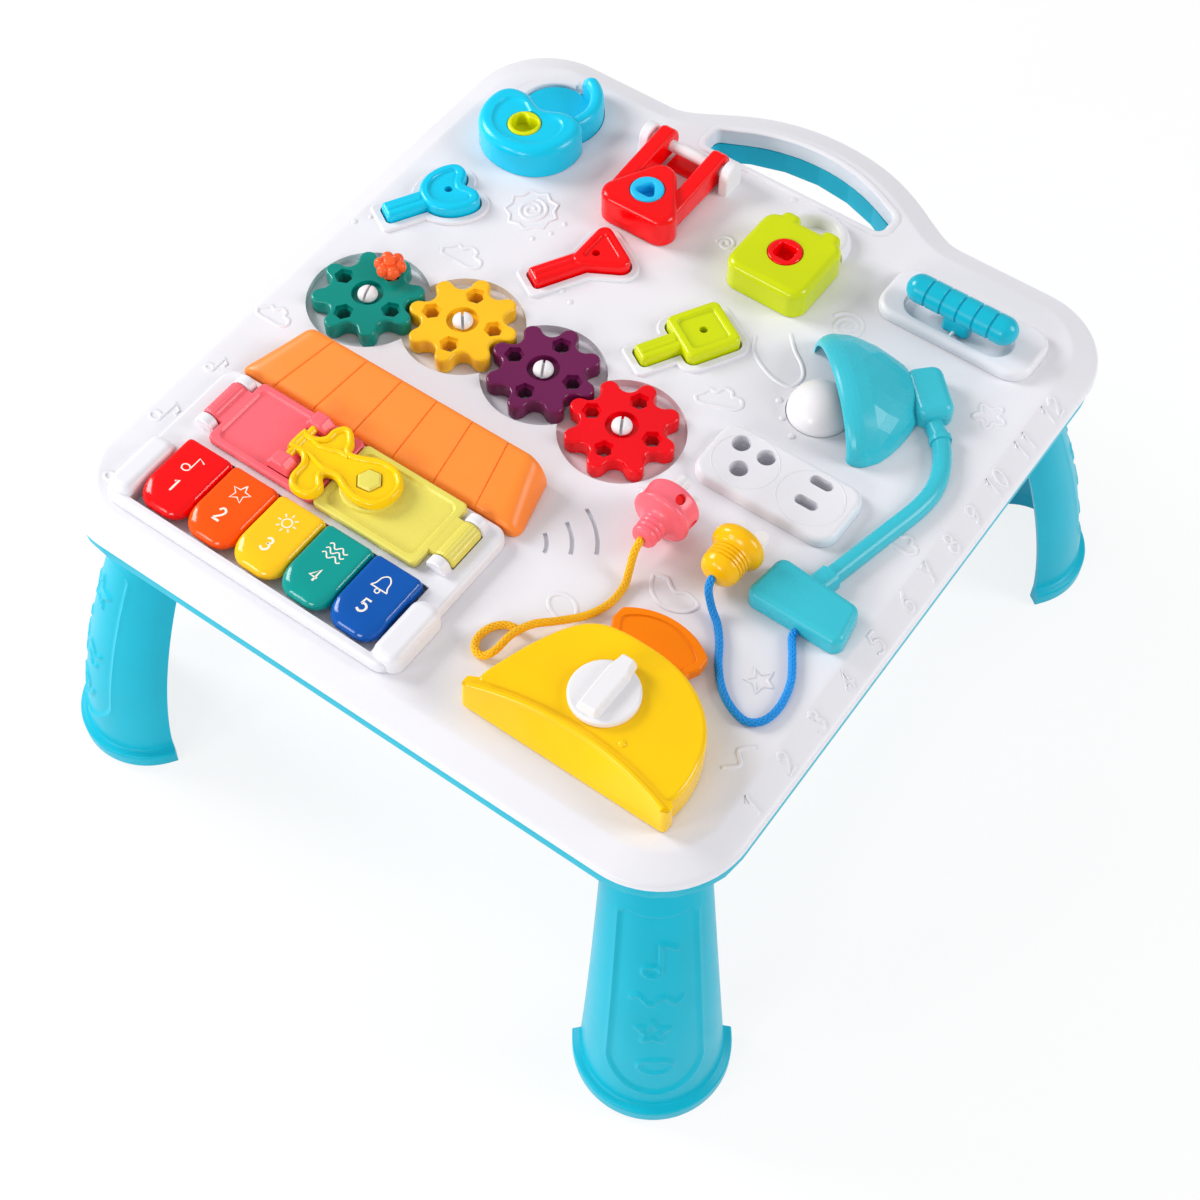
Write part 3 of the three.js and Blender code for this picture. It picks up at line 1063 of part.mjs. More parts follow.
part('plug_three_pin', plugBody(pinPlugProfile, prongWells), colours.pink, pinPlug);
part('plug_three_pin_prongs', join(prongs, carrier), colours.white, pinPlug);
const bladeNose = bladePlugProfile.at(-1)[1];
const bladeBoxes = (grow, back, front) => [-bladePlug.bladeSpread, bladePlug.bladeSpread].map((x) => block(
  [x - bladePlug.bladeWide / 2 - grow, x + bladePlug.bladeWide / 2 + grow],
  [bladeNose - back, bladeNose + front],
  [-bladePlug.bladeThick / 2 - grow, bladePlug.bladeThick / 2 + grow],
));
const bladeBridge = block([-bladePlug.bladeSpread, bladePlug.bladeSpread],
  [bladeNose + gap.seat, bladeNose + gap.seat + gap.past],
  [-bladePlug.bladeThick / 2, bladePlug.bladeThick / 2]);
const bladeWells = bladeBoxes(gap.seat, bladePlug.bladeBack + gap.seat, gap.past);
part('plug_two_blade', plugBody(bladePlugProfile, bladeWells), colours.yellow, bladePlug);
part('plug_two_blade_blades', join(bladeBoxes(0, bladePlug.bladeBack, bladePlug.bladeLong), bladeBridge),
  colours.white, bladePlug);

// Cords as swept tubes
function tube(points, steps) {
  const places = points.map(([x, y, z]) => new THREE.Vector3(x, y, z));
  const curve = new THREE.CatmullRomCurve3(places, false, 'centripetal');
  const section = new THREE.Shape(circle(0, 0, cord.radius, cord.sides));
  return new THREE.ExtrudeGeometry(section, { steps, extrudePath: curve, bevelEnabled: false });
}
part('cord_yellow', tube(yellowCordPoints, cord.yellowSteps), colours.cordYellow, { roughness: 0.8 });
part('cord_blue', tube(blueCordPoints, cord.blueSteps), colours.cordBlue, { roughness: 0.8 });

// Toaster body with a sloping apron under a bowed ridge, a mouth for the toast and a bore for the knob
const apronHalf = (toaster.apronRight - toaster.apronLeft) / 2;
const apronMiddle = (toaster.apronRight + toaster.apronLeft) / 2;
function bow(base, rise) {
  const radius = (apronHalf ** 2 + rise ** 2) / (2 * rise);
  const sweep = Math.asin(apronHalf / radius) / deg;
  return arc(apronMiddle, toaster.apronFront + base + rise - radius, radius, 90 - sweep, 90 + sweep, 8);
}
const frontRow = Array.from({ length: 9 }, (_, i) =>
  point(toaster.apronLeft + (apronHalf * i) / 4, toaster.apronFront));
const ridgeRow = bow(gap.seat, toaster.ridgeRise).reverse();
const behindRow = bow(toaster.ridgeWide, toaster.ridgeRise);
const backRow = bow(toaster.apronSide, toaster.apronBow);
const apron = loft([
  [ring(frontRow, backRow), gap.seat], [ring(frontRow, backRow), toaster.apronLow],
  [ring(ridgeRow, backRow), toaster.high],
]);
const ridge = slab(ring(ridgeRow, behindRow), toaster.high - gap.past, toaster.ridgeHigh,
  toaster.ridgeEdge, 0, 1);
const bodyFront = behindRow.slice(1, -1).map((p) => [p.x, p.y]);
const mouth = block([toast.x - toast.crownHalf - gap.slip, toast.x + toast.crownHalf + gap.slip],
  [toaster.mouthEnd, toast.crownTop], [toaster.mouthLow, toaster.mouthHigh]);
part('toaster_body', cut(
  join(
    slab(rounded([...toaster.corners, ...bodyFront], toaster.round, 2), gap.seat, toaster.high, toaster.edge),
    apron, ridge,
    slab(circle(...toaster.dotAt, toaster.dotRadius, 8), toaster.high / 2, toaster.high + toaster.dotRise),
  ),
  mouth,
  slab(circle(...timer.at, timer.spindle + gap.turn, 8), timer.spindleLow - gap.turn,
    toaster.high + gap.past),
), colours.toaster);
const toastLine = (shrink) => {
  const neck = toast.neckHalf - shrink;
  const crown = toast.crownHalf - shrink;
  const top = toast.crownTop - shrink;
  const waist = toast.neckTo + shrink / 2;
  const shoulder = toast.crownFrom + shrink / 2;
  return rounded([
    [toast.x - neck, toast.from + shrink], [toast.x + neck, toast.from + shrink],
    [toast.x + neck, waist], [toast.x + crown, shoulder], [toast.x + crown, shoulder + toast.shoulder],
    [toast.x + crown * toastFlatShare, top, toast.crownRound],
    [toast.x - crown * toastFlatShare, top, toast.crownRound],
    [toast.x - crown, shoulder + toast.shoulder], [toast.x - crown, shoulder], [toast.x - neck, waist],
  ], toast.round, 2);
};
part('toast', cut(
  slab(toastLine(0), toast.low, toast.high, toast.edge, 0, 1),
  slab(toastLine(toast.inlay), toast.high - toast.inlayDepth, toast.high + gap.past),
), colours.toast);

// Timer knob with its bar
part('toaster_knob', join(
  slab(circle(0, 0, timer.radius, 24), timer.low, timer.high, timer.edge, 0, 1),
  slab(rectangle(-timer.barWide / 2, -timer.barFront, timer.barWide / 2, timer.barBack, timer.barRound, 2),
    timer.high - timer.edge, timer.barHigh, timer.barEdge, 0, 1),
  slab(circle(0, 0, timer.spindle, 8), timer.spindleLow, timer.low + gap.past),
), colours.white, { at: timer.at });

// Hidden pieces: speaker, circuit board, battery door and cells
part('speaker', turned([
  [0, speaker.low], [speaker.magnet, speaker.low], [speaker.magnet, speaker.rimLow],
  [speaker.radius, speaker.rimLow],
  [speaker.radius, speaker.high], [speaker.radius - gap.past, speaker.high],
  [speaker.magnet / 2, speaker.rimLow + gap.past], [0, speaker.rimLow + gap.past],
], 16), colours.battery, { at: speaker.at });
part('circuit_board', join(
  slab(rectangle(circuit.left, circuit.front, circuit.right, circuit.back, circuit.corner, 1),
    circuit.low, circuit.high),
  block([circuit.left + circuit.chip, circuit.left + 2 * circuit.chip],
    [circuit.front + circuit.chip, circuit.front + 2 * circuit.chip],
    [circuit.low, circuit.high + circuit.chipHigh]),
), colours.board);
part('battery_door', slab(boxOutline(battery.doorLip - gap.seat, battery.doorLip), -tray.depth,
  -tray.depth + battery.doorThick - gap.seat), colours.teal);
const cell = turned([
  [0, -battery.long / 2], [battery.radius, -battery.long / 2], [battery.radius, battery.long / 2],
  [battery.tipRadius, battery.long / 2], [battery.tipRadius, battery.long / 2 + battery.tipLong],
  [0, battery.long / 2 + battery.tipLong],
], 10).rotateY(Math.PI / 2);
Array.from({ length: battery.count }, (_, i) => part(`battery_${i + 1}`, cell, colours.battery, {
  at: [battery.at[0], battery.at[1] + (i - (battery.count - 1) / 2) * battery.pitch],
  z: cellZ,
  turn: i % 2 === 0 ? 0 : 180,
}));

export default root;
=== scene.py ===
import json
from math import asin, atan2, copysign, cos, degrees, hypot, pi, radians, sin, sqrt, tan
import bmesh
import bpy
from mathutils import Matrix, Vector


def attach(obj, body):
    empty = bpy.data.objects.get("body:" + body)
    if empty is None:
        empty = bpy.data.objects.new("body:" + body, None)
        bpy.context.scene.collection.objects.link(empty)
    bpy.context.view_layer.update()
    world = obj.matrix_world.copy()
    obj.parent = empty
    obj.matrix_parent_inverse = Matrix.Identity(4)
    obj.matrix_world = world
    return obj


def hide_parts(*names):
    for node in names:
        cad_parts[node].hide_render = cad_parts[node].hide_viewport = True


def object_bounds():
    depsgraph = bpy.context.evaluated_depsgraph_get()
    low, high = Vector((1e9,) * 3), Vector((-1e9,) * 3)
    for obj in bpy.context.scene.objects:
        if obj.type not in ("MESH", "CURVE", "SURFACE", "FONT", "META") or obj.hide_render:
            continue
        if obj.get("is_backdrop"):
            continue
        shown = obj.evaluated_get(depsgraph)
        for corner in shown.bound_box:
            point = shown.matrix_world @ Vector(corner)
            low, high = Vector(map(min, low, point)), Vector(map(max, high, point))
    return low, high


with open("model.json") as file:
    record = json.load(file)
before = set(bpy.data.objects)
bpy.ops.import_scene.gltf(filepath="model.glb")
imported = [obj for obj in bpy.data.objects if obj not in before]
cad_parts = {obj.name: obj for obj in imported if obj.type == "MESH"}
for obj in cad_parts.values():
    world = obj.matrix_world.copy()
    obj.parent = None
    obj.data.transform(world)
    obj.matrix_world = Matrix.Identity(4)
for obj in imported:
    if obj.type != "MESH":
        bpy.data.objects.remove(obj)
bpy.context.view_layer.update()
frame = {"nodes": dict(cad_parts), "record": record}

NODES = frame["nodes"]
BODIES = frame["record"]["behaviour"]["bodies"]
BODY_OF = {node: body for body, names in BODIES.items() for node in names}

# Lengths below are millimetres over the deck: x from the centre line, y from the front edge
MM = 0.001
DECK = (0.0, -211.0, 210.0)


def row(x, y, z):
    return Vector((x + DECK[0], y + DECK[1], z + DECK[2])) * MM


# Camera where the photograph was taken
camera = bpy.data.objects.new("camera", bpy.data.cameras.new("camera"))
bpy.context.scene.collection.objects.link(camera)
azimuth, elevation = radians(35.754), radians(56.927)
forward = Vector((-sin(azimuth) * cos(elevation), cos(azimuth) * cos(elevation),
                  -sin(elevation)))
camera.rotation_mode = "QUATERNION"
camera.rotation_quaternion = forward.to_track_quat("-Z", "Y")
camera.location = (0.37197, -0.51447, 0.999)
camera.data.lens = 58.76
camera.data.sensor_width = 36
camera.data.clip_start, camera.data.clip_end = 0.01, 50
bpy.context.scene.camera = camera


# Outlines, all counter-clockwise lists of (x, y), and open lines
def loops(x, y, half_x, half_y, start=0, end=360, steps=14):
    """Run of an ellipse. A full turn ends where it starts"""
    angles = [radians(start + (end - start) * i / steps) for i in range(steps + 1)]
    return [(x + half_x * cos(a), y + half_y * sin(a)) for a in angles]


def arc(x, y, radius, start, end, steps):
    return loops(x, y, radius, radius, start, end, steps)


def around(count):
    return [2 * pi * k / count for k in range(count)]


def rounded(corners, radius, steps=6):
    """Corners turned into arcs. A corner's third number is a radius of its own"""
    out = []
    count = len(corners)
    for i, corner in enumerate(corners):
        here = Vector(corner[:2])
        before = Vector(corners[i - 1][:2])
        after = Vector(corners[(i + 1) % count][:2])
        r = corner[2] if len(corner) > 2 else radius
        to_a, to_b = (before - here).normalized(), (after - here).normalized()
        half = to_a.angle(to_b) / 2
        if r < 1e-6 or half > 1.566:
            out.append(tuple(here))
            continue
        middle = here + (to_a + to_b).normalized() * (r / sin(half))
        begin = here + to_a * (r / tan(half))
        a0 = atan2(begin.y - middle.y, begin.x - middle.x)
        finish = here + to_b * (r / tan(half))
        a1 = atan2(finish.y - middle.y, finish.x - middle.x)
        turn = (a1 - a0 + pi) % (2 * pi) - pi
        out += [(middle.x + r * cos(a0 + turn * k / steps), middle.y + r * sin(a0 + turn * k / steps))
                for k in range(steps + 1)]
    return out


def rectangle(x0, y0, x1, y1, radius=0.0, steps=6):
    return rounded([(x0, y0), (x1, y0), (x1, y1), (x0, y1)], radius, steps)


def circle(x, y, radius, steps=32):
    return arc(x, y, radius, 0, 360 - 360 / steps, steps - 1)


def polygon(x, y, flat, sides=6, turn=0.0):
    radius = flat / 2 / cos(pi / sides)
    return arc(x, y, radius, turn, turn + 360 - 360 / sides, sides - 1)


def moved(points, x, y, turn=0.0):
    c, s = cos(radians(turn)), sin(radians(turn))
    return [(px * c - py * s + x, px * s + py * c + y) for px, py in points]


def inset(points, distance):
    """Outline moved inwards by a distance, or outwards if it is negative"""
    if abs(distance) < 1e-9:
        return list(points)
    out = []
    count = len(points)
    for i, p in enumerate(points):
        here = Vector(p)
        a = here - Vector(points[i - 1])
        b = Vector(points[(i + 1) % count]) - here
        if a.length < 1e-6 or b.length < 1e-6:
            a = b = a if a.length > b.length else b
        a, b = a.normalized(), b.normalized()
        normal = Vector((-a.y - b.y, a.x + b.x)).normalized()
        out.append(tuple(here + normal * (distance / max(normal.dot(Vector((-a.y, a.x))), 0.35))))
    return out


def bezier(p0, p1, p2, p3, steps):
    out = []
    for i in range(steps + 1):
        t = i / steps
        u = 1 - t
        out.append(tuple(u ** 3 * a + 3 * u * u * t * b + 3 * u * t * t * c + t ** 3 * d
                         for a, b, c, d in zip(p0, p1, p2, p3)))
    return out


def smooth_line(points, steps, closed=False):
    """Catmull-Rom curve through points in two or three dimensions"""
    points = [Vector(p) for p in points]
    count = len(points)
    out = []
    for i in range(count if closed else count - 1):
        p0 = points[i - 1] if closed or i > 0 else points[0] * 2 - points[1]
        p1, p2 = points[i], points[(i + 1) % count]
        p3 = points[(i + 2) % count] if closed or i + 2 < count else p2 * 2 - p1
        for k in range(steps):
            t = k / steps
            out.append(0.5 * (2 * p1 + (p2 - p0) * t + (2 * p0 - 5 * p1 + 4 * p2 - p3) * t * t
                              + (3 * p1 - p0 - 3 * p2 + p3) * t ** 3))
    if not closed:
        out.append(points[-1])
    return out


def flow(*points):
    return [tuple(p) for p in smooth_line(points, 4)]


def heart(x, y, half, up, down, cleft, steps=10):
    right = bezier((0, -down), (half * 0.62, -down), (half, -down * 0.42), (half, up * 0.3), steps)[:-1]
    right += bezier((half, up * 0.3), (half, up * 0.86), (half * 0.78, up), (half * 0.52, up), steps)[:-1]
    right += bezier((half * 0.52, up), (half * 0.3, up), (half * 0.16, cleft), (0, cleft), steps)
    left = [(-px, py) for px, py in reversed(right)][1:-1]
    return [(px + x, py + y) for px, py in right + left]


# Materials: moulded plastic with a fine grain, slight colour drift and scuffed gloss
def linear(rgb):
    return [((c / 255 + 0.055) / 1.055) ** 2.4 if c > 10.3 else c / 255 / 12.92 for c in rgb]


def set_inputs(node, values):
    for socket, value in values.items():
        node.inputs[socket].default_value = value
    return node


def plastic(name, rgb, rough=0.24, grain=0.12, drift=0.05, glow=0.0, scuffs=0.2, shine=0.36):
    material = bpy.data.materials.new(name)
    material.use_nodes = True
    tree = material.node_tree
    link = tree.links.new
    shader = set_inputs(tree.nodes["Principled BSDF"], {
        "IOR": 1.5, "Specular IOR Level": shine,
        "Subsurface Weight": glow, "Subsurface Radius": (0.004, 0.003, 0.002)})
    coordinates = tree.nodes.new("ShaderNodeTexCoord")
    noises = []
    for scale, detail in ((22, 3), (900, 2), (120, 5)):
        texture = set_inputs(tree.nodes.new("ShaderNodeTexNoise"), {"Scale": scale, "Detail": detail})
        link(coordinates.outputs["Object"], texture.inputs["Vector"])
        noises.append(texture.outputs["Fac"])
    broad, fine, scuff = noises
    ramp = tree.nodes.new("ShaderNodeValToRGB")
    for stop, position, share in zip(ramp.color_ramp.elements, (0.3, 0.7), (1 - drift, 1 + drift)):
        stop.position, stop.color = position, [min(1, c * share) for c in linear(rgb)] + [1]
    gloss = set_inputs(tree.nodes.new("ShaderNodeMapRange"),
                       {"To Min": rough * (1 - scuffs), "To Max": rough * (1 + scuffs)})
    bump = set_inputs(tree.nodes.new("ShaderNodeBump"), {"Strength": grain, "Distance": 0.0002})
    link(broad, ramp.inputs["Fac"])
    link(ramp.outputs["Color"], shader.inputs["Base Color"])
    link(scuff, gloss.inputs["Value"])
    link(gloss.outputs["Result"], shader.inputs["Roughness"])
    link(fine, bump.inputs["Height"])
    link(bump.outputs["Normal"], shader.inputs["Normal"])
    return material


WHITE = plastic("white_plastic", (232, 231, 237), 0.34, 0.05, 0.006, 0.04, 0.06)
WHITE_KNOB = plastic("white_knob_plastic", (238, 236, 239), 0.24, 0.04, 0.008, 0.05, 0.1)
TEAL = plastic("teal_plastic", (0, 180, 206), 0.34, 0.3, 0.03, shine=0.2)
KEY_COLOURS = {"red": (242, 0, 6), "orange": (255, 84, 0), "yellow": (255, 196, 24), "green": (0, 150, 142),
               "blue": (0, 84, 172)}
KEY_PLASTIC = {name: plastic(f"key_{name}_plastic", rgb, 0.12, 0.02, 0.03) for name, rgb in KEY_COLOURS.items()}
PRINT = plastic("white_print", (245, 238, 225), 0.4, 0.02, 0.01)
ORANGE = plastic("orange_plastic", (255, 140, 50), 0.36, 0.08, 0.02)
PINK = plastic("pink_plastic", (250, 106, 118), 0.28, 0.05, 0.03, 0.06)
LIME = plastic("lime_plastic", (230, 218, 100), 0.28, 0.05, 0.03, 0.06)
HASP = plastic("hasp_plastic", (255, 206, 0), 0.2, 0.04, 0.03, 0.03)
GEAR_COLOURS = {"teal": (0, 140, 128), "yellow": (255, 194, 30), "purple": (108, 26, 80), "red": (238, 0, 20)}
GEAR_PLASTIC = {name: plastic(f"gear_{name}_plastic", rgb, 0.2, 0.04) for name, rgb in GEAR_COLOURS.items()}
FLOWER = plastic("flower_plastic", (255, 96, 40), 0.22, 0.04)
BLUE_LOCK = plastic("blue_lock_plastic", (0, 200, 236), 0.24, 0.04, 0.03, 0.03)
RING_YELLOW = plastic("ring_yellow_plastic", (220, 226, 0), 0.24, 0.04)
RED_LOCK = plastic("red_lock_plastic", (248, 0, 6), 0.2, 0.04)
RING_BLUE = plastic("ring_blue_plastic", (40, 196, 244), 0.24, 0.04)
GREEN_LOCK = plastic("green_lock_plastic", (204, 217, 0), 0.22, 0.04)
LAMP = plastic("lamp_plastic", (56, 190, 208), 0.28, 0.06, 0.03)
HANDLE = plastic("handle_plastic", (10, 180, 206), 0.24, 0.04)
PINK_PLUG = plastic("pink_plug_plastic", (255, 108, 124), 0.26, 0.04, 0.04, 0.05)
YELLOW_PLUG = plastic("yellow_plug_plastic", (255, 192, 0), 0.2, 0.04)
TOASTER = plastic("toaster_plastic", (255, 202, 0), 0.2, 0.04)
TOAST = plastic("toast_plastic", (255, 132, 0), 0.32, 0.1, shine=0.2)
CORD_YELLOW = plastic("yellow_braid", (255, 186, 10), 0.6, 0.5, 0.16)
CORD_BLUE = plastic("blue_braid", (24, 150, 232), 0.6, 0.5, 0.16)
DARK = plastic("dark_inside", (30, 31, 34), 0.6, 0.1)
BOARD_GREEN = plastic("circuit_board", (28, 104, 58), 0.5, 0.3, 0.2)
CELL = plastic("cell_wrap", (186, 146, 60), 0.35, 0.05)

NODE_MATERIAL = {node: material for material, names in (
    (WHITE, "top_shell piano_deck rocker_block socket_block"),
    (WHITE_KNOB, "triangle_lock_axle lamp_bulb plug_three_pin_prongs plug_two_blade_blades toaster_knob"),
    (TEAL, "bottom_tray battery_door leg_front_left leg_front_right leg_rear_left leg_rear_right"),
    (BLUE_LOCK, "heart_lock_body heart_lock_shackle heart_key"),
    (RED_LOCK, "triangle_lock_body triangle_lock_pad square_lock_keyway triangle_key"),
    (GREEN_LOCK, "square_lock_body square_key"), (RING_YELLOW, "heart_lock_keyway"),
    (RING_BLUE, "triangle_lock_keyway"), (LAMP, "lamp_shade lamp_arm lamp_base"), (HANDLE, "rocker_handle"),
    (ORANGE, "awning"), (PINK, "door_left"), (LIME, "door_right"), (HASP, "door_hasp"), (FLOWER, "flower_peg"),
    (PINK_PLUG, "plug_three_pin"), (YELLOW_PLUG, "plug_two_blade"), (CORD_YELLOW, "cord_yellow"),
    (CORD_BLUE, "cord_blue"), (TOASTER, "toaster_body"), (TOAST, "toast"), (DARK, "speaker"),
    (BOARD_GREEN, "circuit_board"), (CELL, "battery_1 battery_2 battery_3")) for node in names.split()}
NODE_MATERIAL.update({f"piano_key_{name}": m for name, m in KEY_PLASTIC.items()})
NODE_MATERIAL.update({f"gear_{name}": m for name, m in GEAR_PLASTIC.items()})


# Meshes
def new_object(name, mesh, material):
    mesh.materials.clear()
    mesh.materials.append(material)
    obj = bpy.data.objects.new(name, mesh)
    bpy.context.scene.collection.objects.link(obj)
    return obj


def finished(mesh):
    """Mesh data of a closed bmesh, with its faces pointing out. The bmesh is freed"""
    bmesh.ops.recalc_face_normals(mesh, faces=mesh.faces)
    data = bpy.data.meshes.new("m")
    mesh.to_mesh(data)
    mesh.free()
    return data


def rings_mesh(rings, closed=False):
    """Mesh in metres from rings of row-frame points, all of the same length. Ends are capped, or joined if closed"""
    mesh = bmesh.new()
    layers = [[mesh.verts.new(p) for p in ring] for ring in rings]
    pairs = list(zip(layers, layers[1:])) + ([(layers[-1], layers[0])] if closed else [])
    for low, high in pairs:
        for i in range(len(low)):
            j = (i + 1) % len(low)
            mesh.faces.new((low[i], low[j], high[j], high[i]))
    if not closed:
        mesh.faces.new(list(reversed(layers[0])))
        mesh.faces.new(layers[-1])
    return finished(mesh)


def levels(name, stack, material, at=(0, 0), turn=0.0):
    """Solid from (outline, z) levels, in millimetres"""
    x, y, rise = (*at, 0)[:3]
    rings = [[row(*p, z + rise) for p in moved(outline, x, y, turn)] for outline, z in stack]
    return new_object(name, rings_mesh(rings), material)


def stepped(name, outline, steps, material, at=(0, 0), turn=0.0):
    """Solid from one outline, inset by a depth at each height"""
    return levels(name, [(inset(outline, depth), z) for depth, z in steps], material, at, turn)


def slab(name, outline, low, high, material, top=0.0, bottom=0.0, steps=5, at=(0, 0), turn=0.0):
    """Plate with its upper and lower edges rounded by a radius"""
    angles = [pi / 2 * k / steps for k in range(1, steps + 1)]
    stack = [(outline, low + bottom), (outline, high - top)]
    if bottom > 0:
        stack = [(inset(outline, bottom * (1 - cos(a))), low + bottom * (1 - sin(a)))
                 for a in reversed(angles)] + stack
    if top > 0:
        stack += [(inset(outline, top * (1 - cos(a))), high - top + top * sin(a)) for a in angles]
    return levels(name, stack, material, at, turn)


def turned(name, profile, material, steps=32):
    """Solid of revolution about z from (radius, z) points that start and end on the axis, in millimetres"""
    mesh = bmesh.new()
    rows = []
    for radius, z in profile:
        turns = around(steps) if radius > 1e-6 else [0]
        rows.append([mesh.verts.new((radius * MM * cos(a), radius * MM * sin(a), z * MM)) for a in turns])
    for low, high in zip(rows, rows[1:]):
        for i in range(steps):
            j = (i + 1) % steps
            corners = [low[i % len(low)], low[j % len(low)], high[j % len(high)], high[i % len(high)]]
            unique = [v for k, v in enumerate(corners) if v not in corners[:k]]
            if len(unique) > 2:
                mesh.faces.new(unique)
    return new_object(name, finished(mesh), material)


def put(obj, x=0.0, y=0.0, z=0.0, turn=0.0, tilt=None):
    """Moves a mesh that was made round the origin to a place over the deck, in its vertices"""
    matrix = Matrix.Translation(row(x, y, z)) @ Matrix.Rotation(radians(turn), 4, "Z")
    if tilt is not None:
        matrix = matrix @ tilt
    obj.data.transform(matrix)
    return obj


def merge(obj, *others):
    mesh = bmesh.new()
    mesh.from_mesh(obj.data)
    for other in others:
        mesh.from_mesh(other.data)
        bpy.data.objects.remove(other)
    mesh.to_mesh(obj.data)
    mesh.free()
    return obj


def modified(obj):
    """Mesh of an object with its modifiers applied. They are taken off the object"""
    graph = bpy.context.evaluated_depsgraph_get()
    data = bpy.data.meshes.new_from_object(obj.evaluated_get(graph))
    obj.modifiers.clear()
    return data


def carve(obj, tools, operation="DIFFERENCE"):
    """Boolean with each tool in turn, result applied to the mesh"""
    material = obj.data.materials[0]
    for cutter in tools:
        cutter.data.materials[0] = material
        for solver in ("MANIFOLD", "EXACT"):
            step = obj.modifiers.new("cut", "BOOLEAN")
            step.operation, step.solver, step.object = operation, solver, cutter
            data = modified(obj)
            if len(data.vertices) not in (0, len(obj.data.vertices)):
                break
        obj.data = data
        bpy.data.objects.remove(cutter)
    obj.data.materials.clear()
    obj.data.materials.append(material)
    return obj


def join(obj, tools):
    return carve(obj, tools, "UNION")


def weld(obj, level=0.0):
    """Makes one corner of those that lie together, and one face of those that are level to an angle"""
    mesh = bmesh.new()
    mesh.from_mesh(obj.data)
    bmesh.ops.remove_doubles(mesh, verts=mesh.verts, dist=2e-6)
    if level:
        bmesh.ops.dissolve_limit(mesh, angle_limit=radians(level), verts=mesh.verts, edges=mesh.edges)
    mesh.to_mesh(obj.data)
    mesh.free()
    return obj


def soften(obj, width, segments=3, angle=34):
    """Rounds the sharp edges with a bevel, applied to the mesh"""
    weld(obj, 0.6)
    step = obj.modifiers.new("bevel", "BEVEL")
    step.width, step.segments = width * MM, segments
    step.limit_method, step.angle_limit = "ANGLE", radians(angle)
    step.use_clamp_overlap = True
    obj.data = modified(obj)
    return obj


def place(obj, *nodes, body=None, angle=34):
    """Last step of every piece: smooth shading, its body, and the CAD nodes that it stands for"""
    mesh = obj.data
    mesh.polygons.foreach_set("use_smooth", [True] * len(mesh.polygons))
    mesh.set_sharp_from_angle(angle=radians(angle))
    mesh.update()
    even = obj.modifiers.new("even_shading", "WEIGHTED_NORMAL")
    even.keep_sharp, even.weight = True, 60
    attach(obj, body or BODY_OF[nodes[0]])
    if nodes:
        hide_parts(*nodes)
    return obj


# Small builders shared by the pieces
def tool(outline, low, high, *edges, **options):
    """Slab that is carved out of a piece or joined to it, and takes its material"""
    return slab("tool", outline, low, high, WHITE, *edges, **options)


def box(x, y, z):
    return tool(rectangle(x[0], y[0], x[1], y[1]), *z)


def rod(name, axis, centre, radius, length, material=None, steps=32, edge=0.0):
    """Round bar along x or y about its centre, with eased ends"""
    half = length / 2
    stack = [(radius, -half), (radius, half)]
    if edge:
        stack = [(radius - edge, -half), (radius, -half + edge), (radius, half - edge), (radius - edge, half)]
    rings = []
    for r, along in stack:
        ring = []
        for a in around(steps):
            across, up = r * cos(a), r * sin(a)
            spot = (along, across, up) if axis == "x" else (across, along, up)
            ring.append(row(*(c + s for c, s in zip(centre, spot))))
        rings.append(ring)
    return new_object(name, rings_mesh(rings), material or WHITE)


def upright(name, axis, outline, first, last, material, edge, steps):
    """Plate with eased edges, thick along x with a (y, z) outline, or along y with an (x, z) one"""
    angles = [pi / 2 * k / steps for k in range(steps + 1)]
    stack = [(edge * (1 - sin(a)), first + edge * (1 - cos(a))) for a in angles]
    stack += [(edge * (1 - sin(a)), last - edge * (1 - cos(a))) for a in reversed(angles)]
    rings = [[row(*((along, across) if axis == "x" else (across, along)), z) for across, z in inset(outline, depth)]
             for depth, along in stack]
    return new_object(name, rings_mesh(rings), material)


def strip_rings(line, width, height, base, closed, sides):
    """Half-round ridge along a line on the deck, as rings of points"""
    points = [Vector(p[:2]) for p in line]
    count = len(points)
    rings = []
    for i, p in enumerate(points):
        before = points[i - 1] if closed or i > 0 else p
        after = points[(i + 1) % count] if closed or i + 1 < count else p
        ahead = (after - before).normalized()
        side = Vector((-ahead.y, ahead.x)) * (width / 2)
        foot = base + (line[i][2] if len(line[i]) > 2 else 0.0)
        ring = []
        for k in range(sides + 1):
            a = pi * k / sides
            ring.append(row(*(p - side * cos(a)), foot + height * sin(a)))
        rings.append(ring + [row(*(p + side), foot - 0.3), row(*(p - side), foot - 0.3)])
    return rings


def ridges(name, lines, width, height, material, base, sides=6):
    """One object of raised lines. A line that starts with None is a closed one"""
    parts = []
    for line in lines:
        closed = line[0] is None
        rings = strip_rings(line[closed:], width, height, base, closed, sides)
        parts.append(new_object(name, rings_mesh(rings, closed), material))
    return merge(*parts)


# Plugs, each a turned body along y with its prongs or blades
def lying(obj, x, y, z):
    return put(obj, x, y, z, 0, Matrix.Rotation(radians(-90), 4, "X"))


